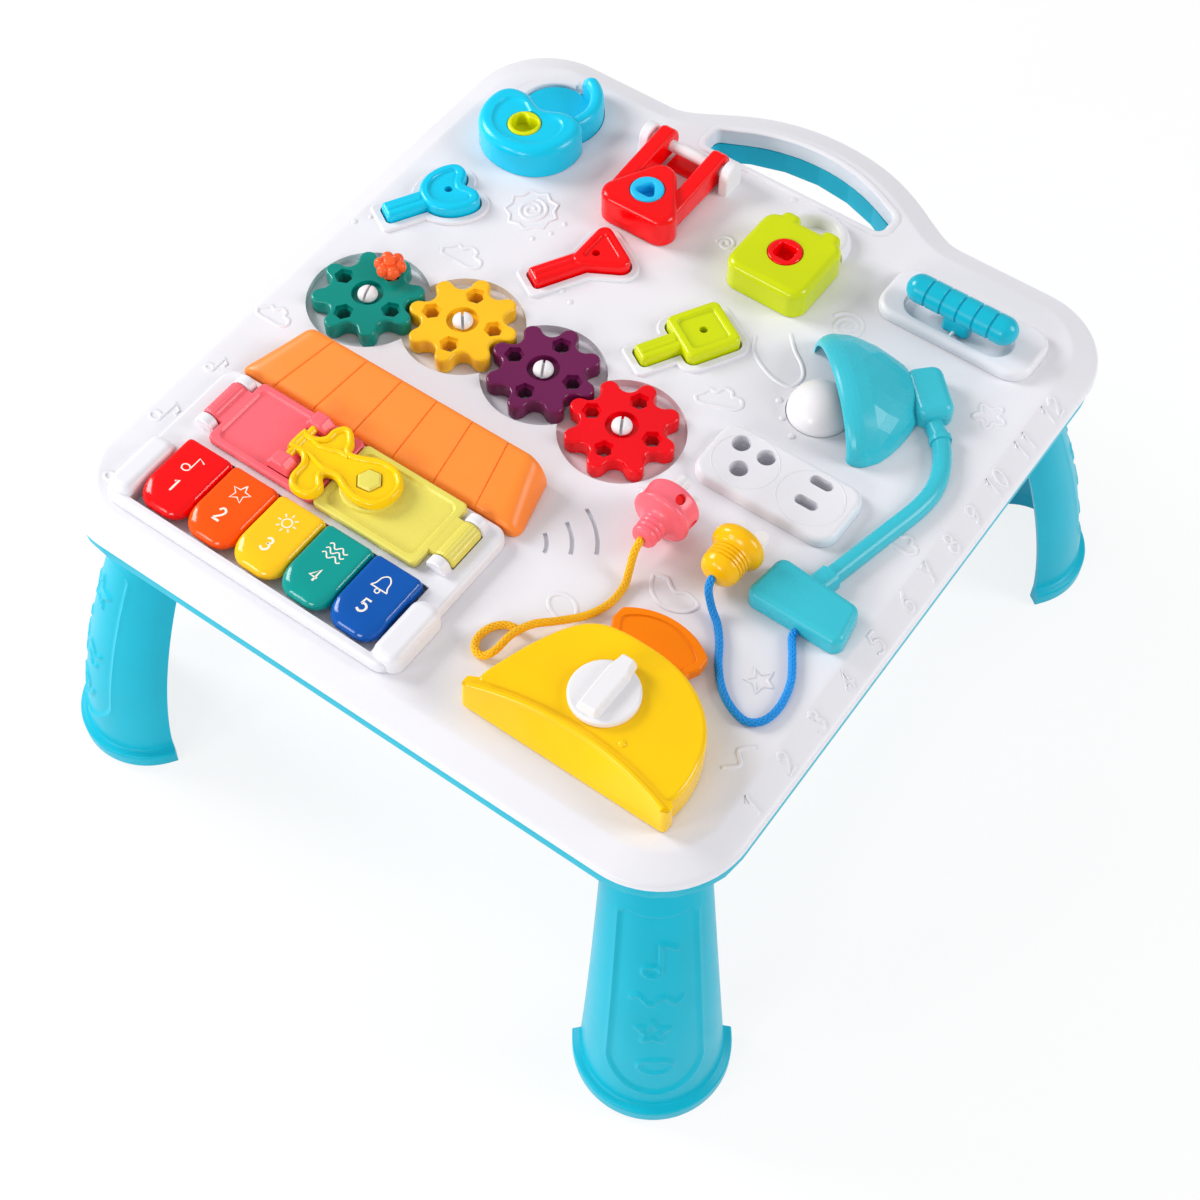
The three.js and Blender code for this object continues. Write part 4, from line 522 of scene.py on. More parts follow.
PINK_AT = (73.6, 145.2, 15.6)
pink_line = [(0, 0), (5, 0), (6, 0.5), (6.7, 1.6), (6.9, 3), (6.7, 3.8), (6.35, 4.2), (6.7, 4.6), (7.1, 5.8),
             (6.9, 6.8), (6.55, 7.2), (6.9, 7.6), (7.4, 8.8), (7.2, 9.6), (7.1, 10.1), (7.5, 10.8), (8.3, 11.8),
             (9.6, 12.8), (11.4, 13.7), (13.2, 14.3), (14.6, 14.9), (15.4, 15.7), (15.6, 16.6), (15.4, 17.4),
             (14.8, 18.2), (14.5, 19.4), (14.5, 21.5), (14.7, 24), (14.9, 26.4), (14.7, 27.7), (13.9, 28.6),
             (12.6, 29), (0, 29)]
plug_pink = lying(turned("pink_plug_body", pink_line, PINK_PLUG, 72), *PINK_AT)
cuts, eyes = [], []
for lean in (62, -8):
    spin = Matrix.Translation(row(*PINK_AT)) @ Matrix.Rotation(radians(lean - 90), 4, "Y").inverted()
    for size, low, high, group, material in ((1.0, 12.6, 18, cuts, PINK_PLUG), (0.96, 11.8, 12.9, eyes, RED_LOCK)):
        oval = loops(0, 22.6, 2.5 * size, 3.3 * size, steps=32)[:-1]
        pocket = slab("pink_plug_eyes", oval, low, high, material, at=(-DECK[0], -DECK[1], -DECK[2]))
        pocket.data.transform(spin)
        group.append(pocket)
prong_set = []
for turn in (90, 210, 330):
    prong = turned("prongs", [(0, 0), (4, 0), (4, 8.6), (3.7, 9.8), (3, 10.8), (2, 11.4), (0, 11.5)], WHITE_KNOB, 32)
    x, z = moved([(8, 0)], PINK_AT[0], PINK_AT[2], turn)[0]
    lying(prong, x, 171.2, z)
    prong_set.append(prong)
carve(plug_pink, cuts)
pink_pieces = [place(plug_pink, "plug_three_pin", angle=44), place(merge(*eyes), "plug_three_pin"),
               place(merge(*prong_set), "plug_three_pin_prongs", angle=44)]
yellow_body = [(0, 0), (2.6, 0.1), (5, 0.6), (7.2, 1.6), (8.9, 3), (9.9, 4.8), (10.3, 6.6)]
for y in (8.2, 10.4, 12.6, 14.8):
    yellow_body += [(10.45, y - 0.9), (10.3, y - 0.35), (9.75, y), (10.3, y + 0.35)]
yellow_body += [(10.4, 16.2), (10.6, 16.9), (11.6, 17.6), (12.9, 18.5), (13.7, 19.8), (13.95, 21.4), (13.8, 23),
                (13.2, 24.5), (12, 25.7), (10.2, 26.5), (8, 26.8), (0, 26.8)]
plug_yellow = lying(turned("yellow_plug_body", yellow_body, YELLOW_PLUG, 72), 113.4, 147.5, 14.3)
blades = []
for x in (106.8, 120):
    blade_line = rounded([(x - 4, 171.3, 0.2), (x + 4, 171.3, 0.2), (x + 4, 183.8, 3.9), (x - 4, 183.8, 3.9)], 1, 10)
    blades.append(slab("blades", blade_line, 12.7, 15.9, WHITE_KNOB, 0.9, 0.9, steps=4))
yellow_pieces = [place(plug_yellow, "plug_two_blade", angle=44),
                 place(merge(*blades), "plug_two_blade_blades", angle=44)]

# Braided cords, round strands wound about one line
YELLOW_POINTS = [(73.6, 144.9, 15.6), (73.6, 143.4, 15.6), (73.9, 138.4, 12), (75.6, 132, 5.4), (77.6, 125, 2.5),
                 (77.5, 113, 2.4), (72.4, 101, 2.6), (64.2, 89.8, 4.6), (56.3, 80.8, 6), (51.6, 70.5, 6),
                 (50, 59.6, 4.6), (46.5, 54.8, 2.6), (41.5, 55, 2.4), (38.2, 60.6, 2.4), (39.4, 68.6, 2.4),
                 (44.6, 74.6, 2.4), (52.8, 76.2, 2.4)]
BLUE_POINTS = [(113.4, 147.2, 14.3), (113.4, 145.7, 14.3), (114.8, 142, 11.4), (119.2, 138.6, 5),
               (126.1, 133.5, 2.5), (132.6, 125.4, 2.4), (139.6, 114.3, 2.4), (147.8, 105.2, 2.4), (156.5, 99.6, 2.4),
               (166, 97.4, 2.4), (172.6, 102.4, 2.4), (174.6, 113, 2.4), (171.7, 126.9, 2.4), (164.4, 139.7, 2.4),
               (159.2, 147.4, 2.5), (158.4, 150.2, 2.6), (158.4, 151.8, 2.6)]


def braid(name, points, material, node, radius=2.05, strands=6, pitch=2.6, depth=0.42):
    line = smooth_line([row(*p) for p in points], 20)
    rings = []
    side = Vector((1, 0, 0))
    run = 0.0
    for i, p in enumerate(line):
        ahead = (line[min(i + 1, len(line) - 1)] - line[max(i - 1, 0)]).normalized()
        side = (side - ahead * side.dot(ahead)).normalized()
        up = ahead.cross(side)
        if i:
            run += (p - line[i - 1]).length / MM
        ring = []
        for a in around(36):
            over = abs(sin(strands / 2 * a - pi * run / pitch))
            under = abs(sin(strands / 2 * a + pi * run / pitch))
            r = (radius - depth * (1 - max(over, under)) * 3.0) * MM
            ring.append(p + side * (r * cos(a)) + up * (r * sin(a)))
        rings.append(ring)
    obj = new_object(name, rings_mesh(rings), material)
    length = sum((b - a).length for a, b in zip(line, line[1:]))
    place(obj, node, angle=120)
    return obj, line, length


cord_yellow, yellow_line, yellow_length = braid("braided_cord_yellow", YELLOW_POINTS, CORD_YELLOW, "cord_yellow")
cord_blue, blue_line, blue_length = braid("braided_cord_blue", BLUE_POINTS, CORD_BLUE, "cord_blue")

# Strokes of the numerals, each in a cell one wide and 1.6 high
SIX = flow((0.82, 1.55), (0.42, 1.25), (0.14, 0.75), (0.15, 0.28), (0.5, 0), (0.88, 0.22), (0.9, 0.6), (0.55, 0.86),
           (0.18, 0.62))
DIGITS = {
    "0": [loops(0.5, 0.8, 0.42, 0.8)],
    "1": [[(0.2, 1.25), (0.58, 1.6), (0.58, 0)]],
    "2": [flow((0.08, 1.2), (0.28, 1.53), (0.6, 1.58), (0.88, 1.3), (0.76, 0.85), (0.4, 0.42), (0.05, 0.02))
          + [(0.98, 0.02)]],
    "3": [flow((0.1, 1.38), (0.45, 1.6), (0.86, 1.38), (0.78, 1.0), (0.45, 0.88)),
          flow((0.45, 0.88), (0.86, 0.74), (0.92, 0.3), (0.5, 0), (0.05, 0.22))],
    "4": [[(0.76, 0), (0.76, 1.6), (0.02, 0.5), (1.0, 0.5)]],
    "5": [[(0.9, 1.58), (0.2, 1.58), (0.14, 0.86)],
          flow((0.14, 0.86), (0.5, 1.0), (0.92, 0.72), (0.86, 0.22), (0.45, 0), (0.05, 0.18))],
    "6": [SIX],
    "7": [[(0.02, 1.58), (0.95, 1.58), (0.4, 0)]],
    "8": [loops(0.5, 1.2, 0.34, 0.38), loops(0.5, 0.41, 0.43, 0.41)],
    "9": [[(1 - x, 1.6 - y) for x, y in SIX]],
}


def numeral(text, x, y, size, turn=0.0, lean=0.0):
    """Stroke lines of a number centred on a place"""
    out = []
    width = len(text) * 1.25 - 0.25
    for i, mark in enumerate(text):
        for stroke in DIGITS[mark]:
            spots = [((px + i * 1.25 - width / 2 + lean * (py - 0.8)) * size, (py - 0.8) * size) for px, py in stroke]
            out.append(moved(spots, x, y, turn))
    return out


# White board: soft rim, wells for the gears, beds, pockets and slots, hollow below
def board_outline(steps=16):
    half, depth, corner, wide, peak = 200, 418, 48, 96, 451
    bulge = bezier((wide, depth), (wide * 0.79, depth), (wide * 0.58, peak), (0, peak), steps)
    centres = ((half - corner, corner), (half - corner, depth - corner), (corner - half, depth - corner),
               (corner - half, corner))
    turns = [arc(x, y, corner, 90 * i - 90, 90 * i, steps) for i, (x, y) in enumerate(centres)]
    out = turns[0] + turns[1] + bulge[:-1] + [(-x, y) for x, y in reversed(bulge)] + turns[2] + turns[3]
    return [p for i, p in enumerate(out) if (Vector(p) - Vector(out[i - 1])).length > 1e-4]


def slot_outline():
    left, right, near, shoulder, far = -61, 57, 397, 411, 430
    half, rise, middle = (right - left) / 2, far - shoulder, (right + left) / 2
    radius = (half * half + rise * rise) / (2 * rise)
    sweep = degrees(asin(half / radius))
    crown = arc(middle, far - radius, radius, 90 - sweep, 90 + sweep, 20)[2:-2]
    return rounded([(left, near), (right, near), (right, shoulder + 1.5)] + [(x, y, 0) for x, y in crown]
                   + [(left, shoulder + 1.5)], 5)


# Places that several pieces share: x, y and turn of the gears, and place and outline of the toy keys' heads
GEAR_PLACES = {"teal": (-140.8, 197, -6.4), "yellow": (-88.1, 211.65, 14.9), "purple": (-33.9, 210, 4.2),
               "red": (20.65, 203.5, 4.7)}
HEART = moved(heart(0, 0, 17.5, 14, 16, 9.5), 0, 0, 90)
TRIANGLE = [(-15, 19.5), (-15, -19.5), (18.5, 0)]
SQUARE = [(-15.5, 15.5), (-15.5, -15.5), (15.5, -15.5), (15.5, 15.5)]
KEY_HEADS = {"heart": ((-152, 281), HEART), "triangle": ((-58, 290), rounded(TRIANGLE, 5)),
             "square": ((19.5, 279), rounded(SQUARE, 4))}
KEY_FACES = {"heart": inset(HEART, 4.4), "triangle": rounded(inset(TRIANGLE, 4.4), 2.6),
             "square": rounded(inset(SQUARE, 4.4), 2.6)}
KEY_TURN = 240
SHACKLE = (-143.5, 368.5)
ARCH = (30.5, 370)
BULB = (95.5, 273)
SOUND = (18, 116)
SOCKET_HOLES = [circle(x, y, 5, 28) for x, y in ((77, 228), (92.1, 227.8), (84.6, 214.1))]
SOCKET_HOLES += [rectangle(123.1 - 6.5, y - 3, 123.1 + 6.5, y + 3, 2.99) for y in (230.4, 216)]


def key_slabs(kind, grow, low, high, top=0.0):
    """Head and shaft of a toy key, grown by a distance all round"""
    spot, line = KEY_HEADS[kind]
    shaft = rectangle(0, -6 - grow, 38 + grow, 6 + grow, 3)
    return [tool(outline, low, high, top, at=spot, turn=KEY_TURN) for outline in (inset(line, -grow), shaft)]


def band(x, y, inner, outer, start, end, steps=24):
    return arc(x, y, outer, start, end, steps) + arc(x, y, inner, end, start, steps)


edge_line, slot_line = board_outline(), slot_outline()
rim = [(0, -10), (0, -7.4), (0.3, -6.6), (0.9, -5.95), (1.8, -5.4), (3.2, -4.8), (13.6, -0.62), (14.6, -0.28),
       (15.8, -0.07), (17.2, 0)]
board = stepped("white_board", edge_line, rim, WHITE)
hollow = stepped("hollow", edge_line, [(2.6, -12), (2.6, -9), (15.5, -2.6)], WHITE)
walls = [tool(circle(x, y, 36.1, 40), -7.6, 1) for x, y, _ in GEAR_PLACES.values()]
walls += [tool(rectangle(-22.5, -22.5, 42, 22.5, 4), -5.4, 1, at=KEY_HEADS[k][0], turn=KEY_TURN)
          for k in KEY_HEADS]
walls += [tool(inset(slot_line, -2.2), -13, 1)]
carve(hollow, walls)
tools = [hollow, tool(slot_line, -20, 5)]
tools += [tool(circle(x, y, 33.5, 64), -5, 2) for x, y, _ in GEAR_PLACES.values()]
tools += [piece for kind in KEY_HEADS for piece in key_slabs(kind, 1, -3, 8)]
tools += [tool(band(*SOUND, r - 1.1, r + 1.1, a, b), -4, 1)
          for r, a, b in ((16, 14, 58), (28.5, 22, 62), (41, 26, 66))]
tools += [tool(line, -4, 1) for line in SOCKET_HOLES]
tools += [tool(circle(*BULB, 17.5, 48), -4, 1)]
tools += [tool(band(*SHACKLE, 19.5, 28.5, -66, 84), -1.4, 1), tool(circle(*SHACKLE, 20.8, 48), -1.4, 1)]
carve(board, tools)
soften(board, 0.45, 2, 50)
place(board, "top_shell", angle=30)

# White mouldings that belong to the board: bed frames, arches, stands and gear posts
for kind in KEY_HEADS:
    frame_piece, other = key_slabs(kind, 5, -0.5, 1.7, 1.0)
    join(frame_piece, [other])
    carve(frame_piece, key_slabs(kind, 1, -1, 8))
    frame_piece.name = f"bed_frame_{kind}"
    soften(frame_piece, 0.3, 2, 50)
    place(frame_piece, "top_shell")
place(slab("white_arc", band(*SHACKLE, 21.4, 28, 92, 182), -0.5, 3, WHITE, 1.4), "top_shell")
place(ridges("white_arch", [arc(*ARCH, 16, -8, 188, 40)], 8.6, 7.2, WHITE, -0.1, sides=14), "top_shell", angle=60)
for side, (x0, x1) in {"left": (-87, -81), "right": (-33, -27)}.items():
    profile = [(370.5, -0.5), (385.5, -0.5)] + arc(378, 10, 7.5, 0, 180, 20)
    place(upright(f"axle_stand_{side}", "x", profile, x0, x1, WHITE, 1, 3), "top_shell")
for colour, (x, y, turn) in GEAR_PLACES.items():
    pin = turned(f"gear_pin_{colour}", [(0, -5.2), (3.9, -5.2), (3.9, 2.3), (5.0, 2.4), (5.4, 3), (5.5, 4),
                                        (5.2, 5.3), (4.5, 6.2), (3.4, 6.8), (2, 7.0), (0, 7.05)], WHITE_KNOB, 40)
    put(pin, x, y, 0, turn + 24)
    slit = tool(rectangle(-0.75, -8, 0.75, 8), 2.9, 9, at=(x, y), turn=turn + 24)
    carve(pin, [slit])
    soften(pin, 0.55, 3, 50)
    place(pin, "top_shell", angle=40)

# Legs: U-shaped shells on a round foot with a sunk arch panel and raised drawings
def near_line(x, y, line):
    best = 1e9
    for (ax, ay), (bx, by) in zip(line, line[1:]):
        dx, dy = bx - ax, by - ay
        t = max(0.0, min(1.0, ((x - ax) * dx + (y - ay) * dy) / (dx * dx + dy * dy + 1e-12)))
        best = min(best, (x - ax - dx * t) ** 2 + (y - ay - dy * t) ** 2)
    return sqrt(best)


def inside(x, y, line):
    odd = False
    for (ax, ay), (bx, by) in zip(line, line[1:] + line[:1]):
        if (ay > y) != (by > y) and x < (bx - ax) * (y - ay) / (by - ay) + ax:
            odd = not odd
    return odd


def step_up(value, low, high):
    t = max(0.0, min(1.0, (value - low) / (high - low)))
    return t * t * (3 - 2 * t)


def star_line(x, y, outer, inner, points=5, turn=90.0):
    return [moved([(inner if k % 2 else outer, 0)], x, y, turn + 180 * k / points)[0] for k in range(2 * points + 1)]


def spiral(x, y, first, last, turns, start=0.0, steps=16):
    count = int(turns * steps)
    return [moved([(first + (last - first) * i / count, 0)], x, y, start + 360 * i / steps)[0]
            for i in range(count + 1)]


def wave(x, y, half, rise, count=2, steps=8):
    total = count * steps
    return [(x - half + 2 * half * i / total, y + rise * sin(2 * pi * i / steps)) for i in range(total + 1)]


PANEL = rounded([(-25.5, -186, 22), (25.5, -186, 22), (18.5, -58, 5), (-18.5, -58, 5)], 5, 10)
LEG_DRAWINGS = {
    "leg_front_left": [star_line(1, -84, 11, 5), loops(-8, -112, 2, 2, steps=8), wave(0, -128, 14, 3),
                       wave(0, -138, 12, 3), spiral(0, -163, 2, 11, 2)],
    "leg_front_right": [loops(-3, -92, 4.5, 3.4, steps=12), [(1.5, -91), (1.5, -74), (10, -79)],
                        wave(0, -112, 13, 3), star_line(-2, -135, 9, 4), loops(0, -163, 9, 6, steps=16)],
    "leg_rear_left": [wave(0, -80, 13, 3), spiral(0, -106, 2, 10, 2), loops(-4, -142, 4.5, 3.4, steps=12),
                      [(0.5, -141), (0.5, -124), (9, -129)], wave(0, -166, 12, 3)],
    "leg_rear_right": [star_line(0, -80, 9, 4), wave(0, -100, 13, 3), wave(0, -109, 11, 3),
                       star_line(-5, -133, 7, 3), star_line(7, -152, 6, 2.6), spiral(-4, -168, 1.5, 7, 1.5)],
}


def leg_piece(name, x, y, turn):
    drawings = LEG_DRAWINGS[name]
    boxes = [(min(p[0] for p in d) - 2, max(p[0] for p in d) + 2, min(p[1] for p in d) - 2,
              max(p[1] for p in d) + 2) for d in drawings]
    steps, count = 84, 132
    foot_radius, taper, splay, wall = 37.4, 13.7, 42.5, 3
    rings = []
    # Height, radius (none for the shaft, which has its own) and share of the way up the shaft
    heights = [(-210.0, 41.2, 0), (-209.2, 42.1, 0), (-202.4, 42.1, 0), (-201.2, 41.7, 0), (-200.5, 40.9, 0),
               (-199.9, 39.2, 0), (-199.3, 38.0, 0)]
    heights += [(-198.5 + 174.5 * i / count, None, i / count) for i in range(count + 1)]
    heights += [(-20.0, 23.7, 1.0), (-14.0, 23.7, 1.0)]
    for z, radius, t in heights:
        shift = -splay * t ** 1.6
        plain = radius is not None
        shaft = foot_radius - taper * t
        radius = radius if plain else shaft
        reach = 5.1 + 2.7 * t
        inner = shaft - wall
        outline = [(shift - reach, -radius)]
        for k in range(steps + 1):
            a = radians(-90 + 180 * k / steps)
            r = radius
            side = radius * sin(a)
            if not plain and -188 < z < -56 and abs(side) < 27:
                depth = near_line(side, z, PANEL + PANEL[:1])
                if inside(side, z, PANEL):
                    r -= 1.3 * step_up(depth, 0, 1.2)
                    for drawing, (x0, x1, z0, z1) in zip(drawings, boxes):
                        if x0 < side < x1 and z0 < z < z1:
                            r += 1.0 * (1 - step_up(near_line(side, z, drawing), 0.5, 1.5))
                elif depth < 1.6:
                    r += 0.35 * (1 - step_up(depth, 0.5, 1.6))
            outline.append((shift + r * cos(a), r * sin(a)))
        outline += [(shift - reach, radius), (shift - reach, inner)] + arc(shift, 0, inner, 90, -90, 24)
        outline.append((shift - reach, -inner))
        rings.append([row(*p, z) for p in moved(outline, x, y, turn)])
    return place(new_object(f"{name}_shell", rings_mesh(rings), TEAL), name, angle=40)


for name, (x, y, turn) in {"leg_front_left": (-177.8, 13.1, -126.4), "leg_front_right": (177.8, 13.1, -53.6),
                           "leg_rear_left": (-177.8, 404.9, 126.4), "leg_rear_right": (177.8, 404.9, 53.6)}.items():
    leg_piece(name, x, y, turn)

# Piano plate with its cheeks, window, lip and white hinge knuckles
HINGES = {"left": -148.5, "right": 0.5}
deck_plate = slab("piano_plate", rectangle(-165, 19, 16, 116.6, 8), 0.3, 7, WHITE, 2.2)
cheek_left = tool(rectangle(-164.5, 22, -149.6, 60, 5.5), 1, 12, 4.5, steps=8)
cheek_right = tool(rectangle(4, 22, 20, 60, 6), 0.3, 12, 4.5, steps=8)
join(deck_plate, [cheek_left, cheek_right])
bays = []
for x, side in ((HINGES["left"], 1), (HINGES["right"], -1)):
    bays.append(box(sorted((x - side * 6.5, x + side * 7.5)), (82.5, 106.5), (-1, 18)))
carve(deck_plate, [box((-149.6, 4), (23.4, 67.9), (-1, 13)), box((-149.6, 4), (66.9, 74.5), (-1, 5.5))] + bays)
soften(deck_plate, 0.4, 2, 50)
place(deck_plate, "piano_deck", angle=32)
for side, x in HINGES.items():
    for end, y in {"front": 79.5, "back": 109.5}.items():
        knuckle = rod("knuckle", "y", (x, y, 8), 6, 6, WHITE, 36, 0.9)
        foot = tool(rectangle(x - 5.9, y - 2.9, x + 5.9, y + 2.9, 0.8), 0.4, 8)
        join(knuckle, [foot])
        knuckle.name = f"hinge_knuckle_{side}_{end}"
        place(knuckle, "piano_deck", angle=36)


# Piano keys: glossy pillows that fall at the front, with a printed number and sign
def key_levels(x):
    stack = []
    left, right, front, back = x - 14.8, x + 14.8, 25, 67
    for e_side, e_front, e_back, z in ((0.6, 0.6, 0.3, 4.0), (0, 0, 0, 4.8), (0, 0, 0, 7.2), (0.05, 0.6, 0, 8.4),
                                       (0.25, 1.5, 0.1, 9.5), (0.6, 2.9, 0.25, 10.5), (1.1, 4.6, 0.5, 11.25),
                                       (1.8, 6.6, 0.9, 11.75), (2.8, 8.8, 1.6, 11.97), (4.2, 11, 2.8, 12.05)):
        outline = rounded([(left + e_side, front + e_front, 10.5), (right - e_side, front + e_front, 10.5),
                           (right - e_side, back - e_back, 2.6), (left + e_side, back - e_back, 2.6)], 3, 8)
        stack.append((outline, z))
    return stack


KEY_SIGNS = {
    "red": [loops(-2.6, -3.4, 2.4, 1.9), [(-0.2, -3.2), (-0.2, 4.6), (3.8, 3.0)]],
    "orange": [star_line(0, 0, 5.6, 2.5)],
    "yellow": [loops(0, 0, 2.6, 2.6)] + [moved([(3.8, 0), (5.6, 0)], 0, 0, 45 * k) for k in range(8)],
    "green": [wave(0, 3, 5.6, 1.2), wave(0, 0, 5.6, 1.2), wave(0, -3, 5.6, 1.2)],
    "blue": [flow((-5, -3.6), (-3.4, -1.4), (-2.6, 2.4), (0, 4.4), (2.6, 2.4), (3.4, -1.4), (5, -3.6))
             + [(-5, -3.6)], loops(0, -5, 1.3, 1.3, steps=8)],
}
for i, colour in enumerate(KEY_COLOURS):
    x = -133.4 + 30.2 * i
    key = levels(f"key_{colour}", key_levels(x), KEY_PLASTIC[colour])
    tongue = box((x - 10, x + 10), (60, 71), (1.6, 4.6))
    barrel = rod("barrel", "x", (x, 71, 3), 2, 20, None, 20)
    join(key, [tongue, barrel])
    node = f"piano_key_{colour}"
    place(key, node, angle=50)
    number = ridges(f"print_number_{colour}", numeral(str(i + 1), x, 39.6, 4.6), 1.5, 0.14, PRINT, 12.0, sides=3)
    place(number, body=node)
    sign = ridges(f"print_sign_{colour}", [moved(line, x, 54.5) for line in KEY_SIGNS[colour]], 0.8, 0.14, PRINT,
                  12.03, sides=3)
    place(sign, body=node)


# Awning: seven fields with fine seams, falling at the front lip and at both ends
def awning_piece(fields=7, front_width=182, back_width=156, deep=36.8, corner=7.5, end_fall=13, seam_half=0.0032):
    profile = [(0.0, 0.3), (0.0, 6.2), (0.15, 7.6), (0.7, 8.8), (1.7, 9.7), (3.2, 10.45)]
    profile += [(3.2 + 28.4 * k / 10, 10.45 + 8.25 * k / 10) for k in range(1, 11)]
    profile += [(33.4, 19.25), (34.8, 19.2), (35.9, 18.5), (36.5, 17.2), (deep, 15.4), (deep, 0.3)]
    seams = [k / fields for k in range(1, fields)]
    marks = [0, 0.002, 0.006, 0.012, 0.02, 0.03, 0.042, 0.056, 0.07]
    marks += [1 - m for m in marks] + [0.07 + 0.86 * k / 60 for k in range(1, 60)]
    for seam in seams:
        marks += [seam + seam_half * k / 2 for k in range(-2, 3)]
    rings = []
    for u in sorted(set(marks)):
        front_x, back_x = -162.5 + front_width * u, -146 + back_width * u
        reach = min(u, 1 - u) * front_width
        tuck = corner - sqrt(corner ** 2 - max(0.0, corner - reach) ** 2)
        fall = sqrt(max(0.0, 1 - max(0.0, (end_fall - reach) / end_fall) ** 2.2))
        groove = max(0.0, 1 - min(abs(u - s) for s in seams) / seam_half) * 0.7
        ring = []
        for depth, z in profile:
            depth = tuck + depth * (deep - tuck) / deep
            level = 0.3 + (z - 0.3) * fall - (groove * fall if z > 6 else 0)
            ring.append(row(front_x + (back_x - front_x) * (depth / deep), 117.2 + depth, max(level, 0.3)))
        rings.append(ring)
    return new_object("awning_roof", rings_mesh(rings), ORANGE)


place(awning_piece(), "awning", angle=32)

# Gears: rounded teeth, hexagonal dimples with a hole, round recess for the pin
def gear_outline(teeth=8, tip=30.3, root=22, rounding=5, steps=7):
    """Round tooth tips that run tangent into round valleys"""
    half = pi / teeth
    centre = tip - rounding
    across = centre * cos(half)
    valley = (centre ** 2 + root ** 2 - 2 * root * across - rounding ** 2) / (2 * (across - root + rounding))
    middle = root + valley
    bottom, side = middle * cos(half), middle * sin(half)
    lean = degrees(atan2(side, bottom - centre))
    crest = arc(centre, 0, rounding, -lean, lean, steps)
    dip = arc(bottom, side, valley, lean + 180, degrees(2 * half) + 180 - lean, steps)[1:-1]
    return [p for i in range(teeth) for p in moved(crest + dip, 0, 0, 360 / teeth * i)]


gear_line = gear_outline()
for colour, (x, y, turn) in GEAR_PLACES.items():
    gear = slab(f"gear_{colour}_wheel", gear_line, -4.5, 5, GEAR_PLASTIC[colour], 1.5, 0.5, at=(x, y), turn=turn)
    cuts = [tool(circle(0, 0, 8.7, 48), 2, 6, at=(x, y)), tool(circle(0, 0, 4.4, 32), -6, 6, at=(x, y))]
    for k in range(4):
        at = moved([(17.8, 0)], x, y, 90 * k + turn)[0]
        cuts.append(tool(polygon(0, 0, 9.6, 6, 30), 3.1, 6, at=at, turn=90 * k + turn))
        cuts.append(tool(polygon(0, 0, 7.4, 6, 30), -6, 6, at=at, turn=90 * k + turn))
    carve(gear, cuts)
    soften(gear, 0.45, 2, 50)
    place(gear, f"gear_{colour}")

# White cups under the socket holes and a pale grille behind the sound slots
cup_parts = []
for line in SOCKET_HOLES:
    cup = slab("socket_cups", inset(line, -1.3), -9.5, -0.2, WHITE)
    cup_parts.append(carve(cup, [tool(inset(line, 0.2), -8, 2)]))
place(merge(*cup_parts), "top_shell")
place(slab("slot_grille", band(*SOUND, 13, 44, 8, 72, 20), -2.1, -1.8, WHITE), "top_shell")

# Doors: framed leaves on finely ribbed barrels
EYE = (-54.7, 95.6)


def ribbed_barrel(x, front, back, z, radius, material):
    """Round bar along y with 24 fine ribs"""
    rings = []
    count = 26
    for k in range(count + 1):
        y = front + (back - front) * k / count
        end = 0.6 if k in (0, count) else 0.0
        spots = [(a, radius - end - 0.12 * (1 - cos(24 * a))) for a in around(96)]
        rings.append([row(x + r * cos(a), y, z + r * sin(a)) for a, r in spots])
    return new_object("barrel", rings_mesh(rings), material)


def door_piece(side, near, far, material):
    hinge = HINGES[side]
    left, right = sorted((near, far))
    leaf = slab("leaf", rectangle(left, 71.5, right, 115, 3), 7.5, 12, material, 1.3, 0.5)
    panel = stepped("panel", rectangle(left + 3.6, 75.1, right - 3.6, 111.4, 4.5),
                    [(1.5, 10.6), (1.0, 10.65), (0.4, 11.0), (0, 11.7), (-0.5, 12.2), (-0.5, 13)], material)
    carve(leaf, [panel])
    strap = box(sorted((hinge, near + copysign(2, far - near))), (83.2, 105.8), (7.7, 11.8))
    join(leaf, [strap, ribbed_barrel(hinge, 83, 106, 8, 6, material)])
    if side == "right":
        join(leaf, [tool(circle(*EYE, 15.5, 56), 9, 12.7, 0.9)])
        carve(leaf, [tool(rectangle(-90, 60, -72.75, 130), 5, 15)])
    leaf.name = f"door_leaf_{side}"
    return place(leaf, f"door_{side}", angle=36)


door_piece("left", -141, -73.3, PINK)
door_piece("right", -8, -72.7, LIME)
ear_line = rounded([(-105, 10.2, 0.1), (-91, 10.2, 0.1), (-91, 14.4, 2.4), (-94.6, 19, 2.2), (-101.4, 19, 2.2),
                    (-105, 14.4, 2.4)], 2.4)
for i, y in enumerate((80, 109.4)):
    place(upright(f"hinge_ear_{i + 1}", "y", ear_line, y - 4.3, y + 4.3, PINK, 1.5, 4), "door_left", angle=50)
stud = levels("hex_stud", [(polygon(*EYE, flat, 6, 8), z) for flat, z in
                           ((11.6, 12), (11.6, 16.2), (11.2, 16.8), (9.8, 17.5), (2, 17.9))], LIME)
place(stud, "door_right", angle=16)

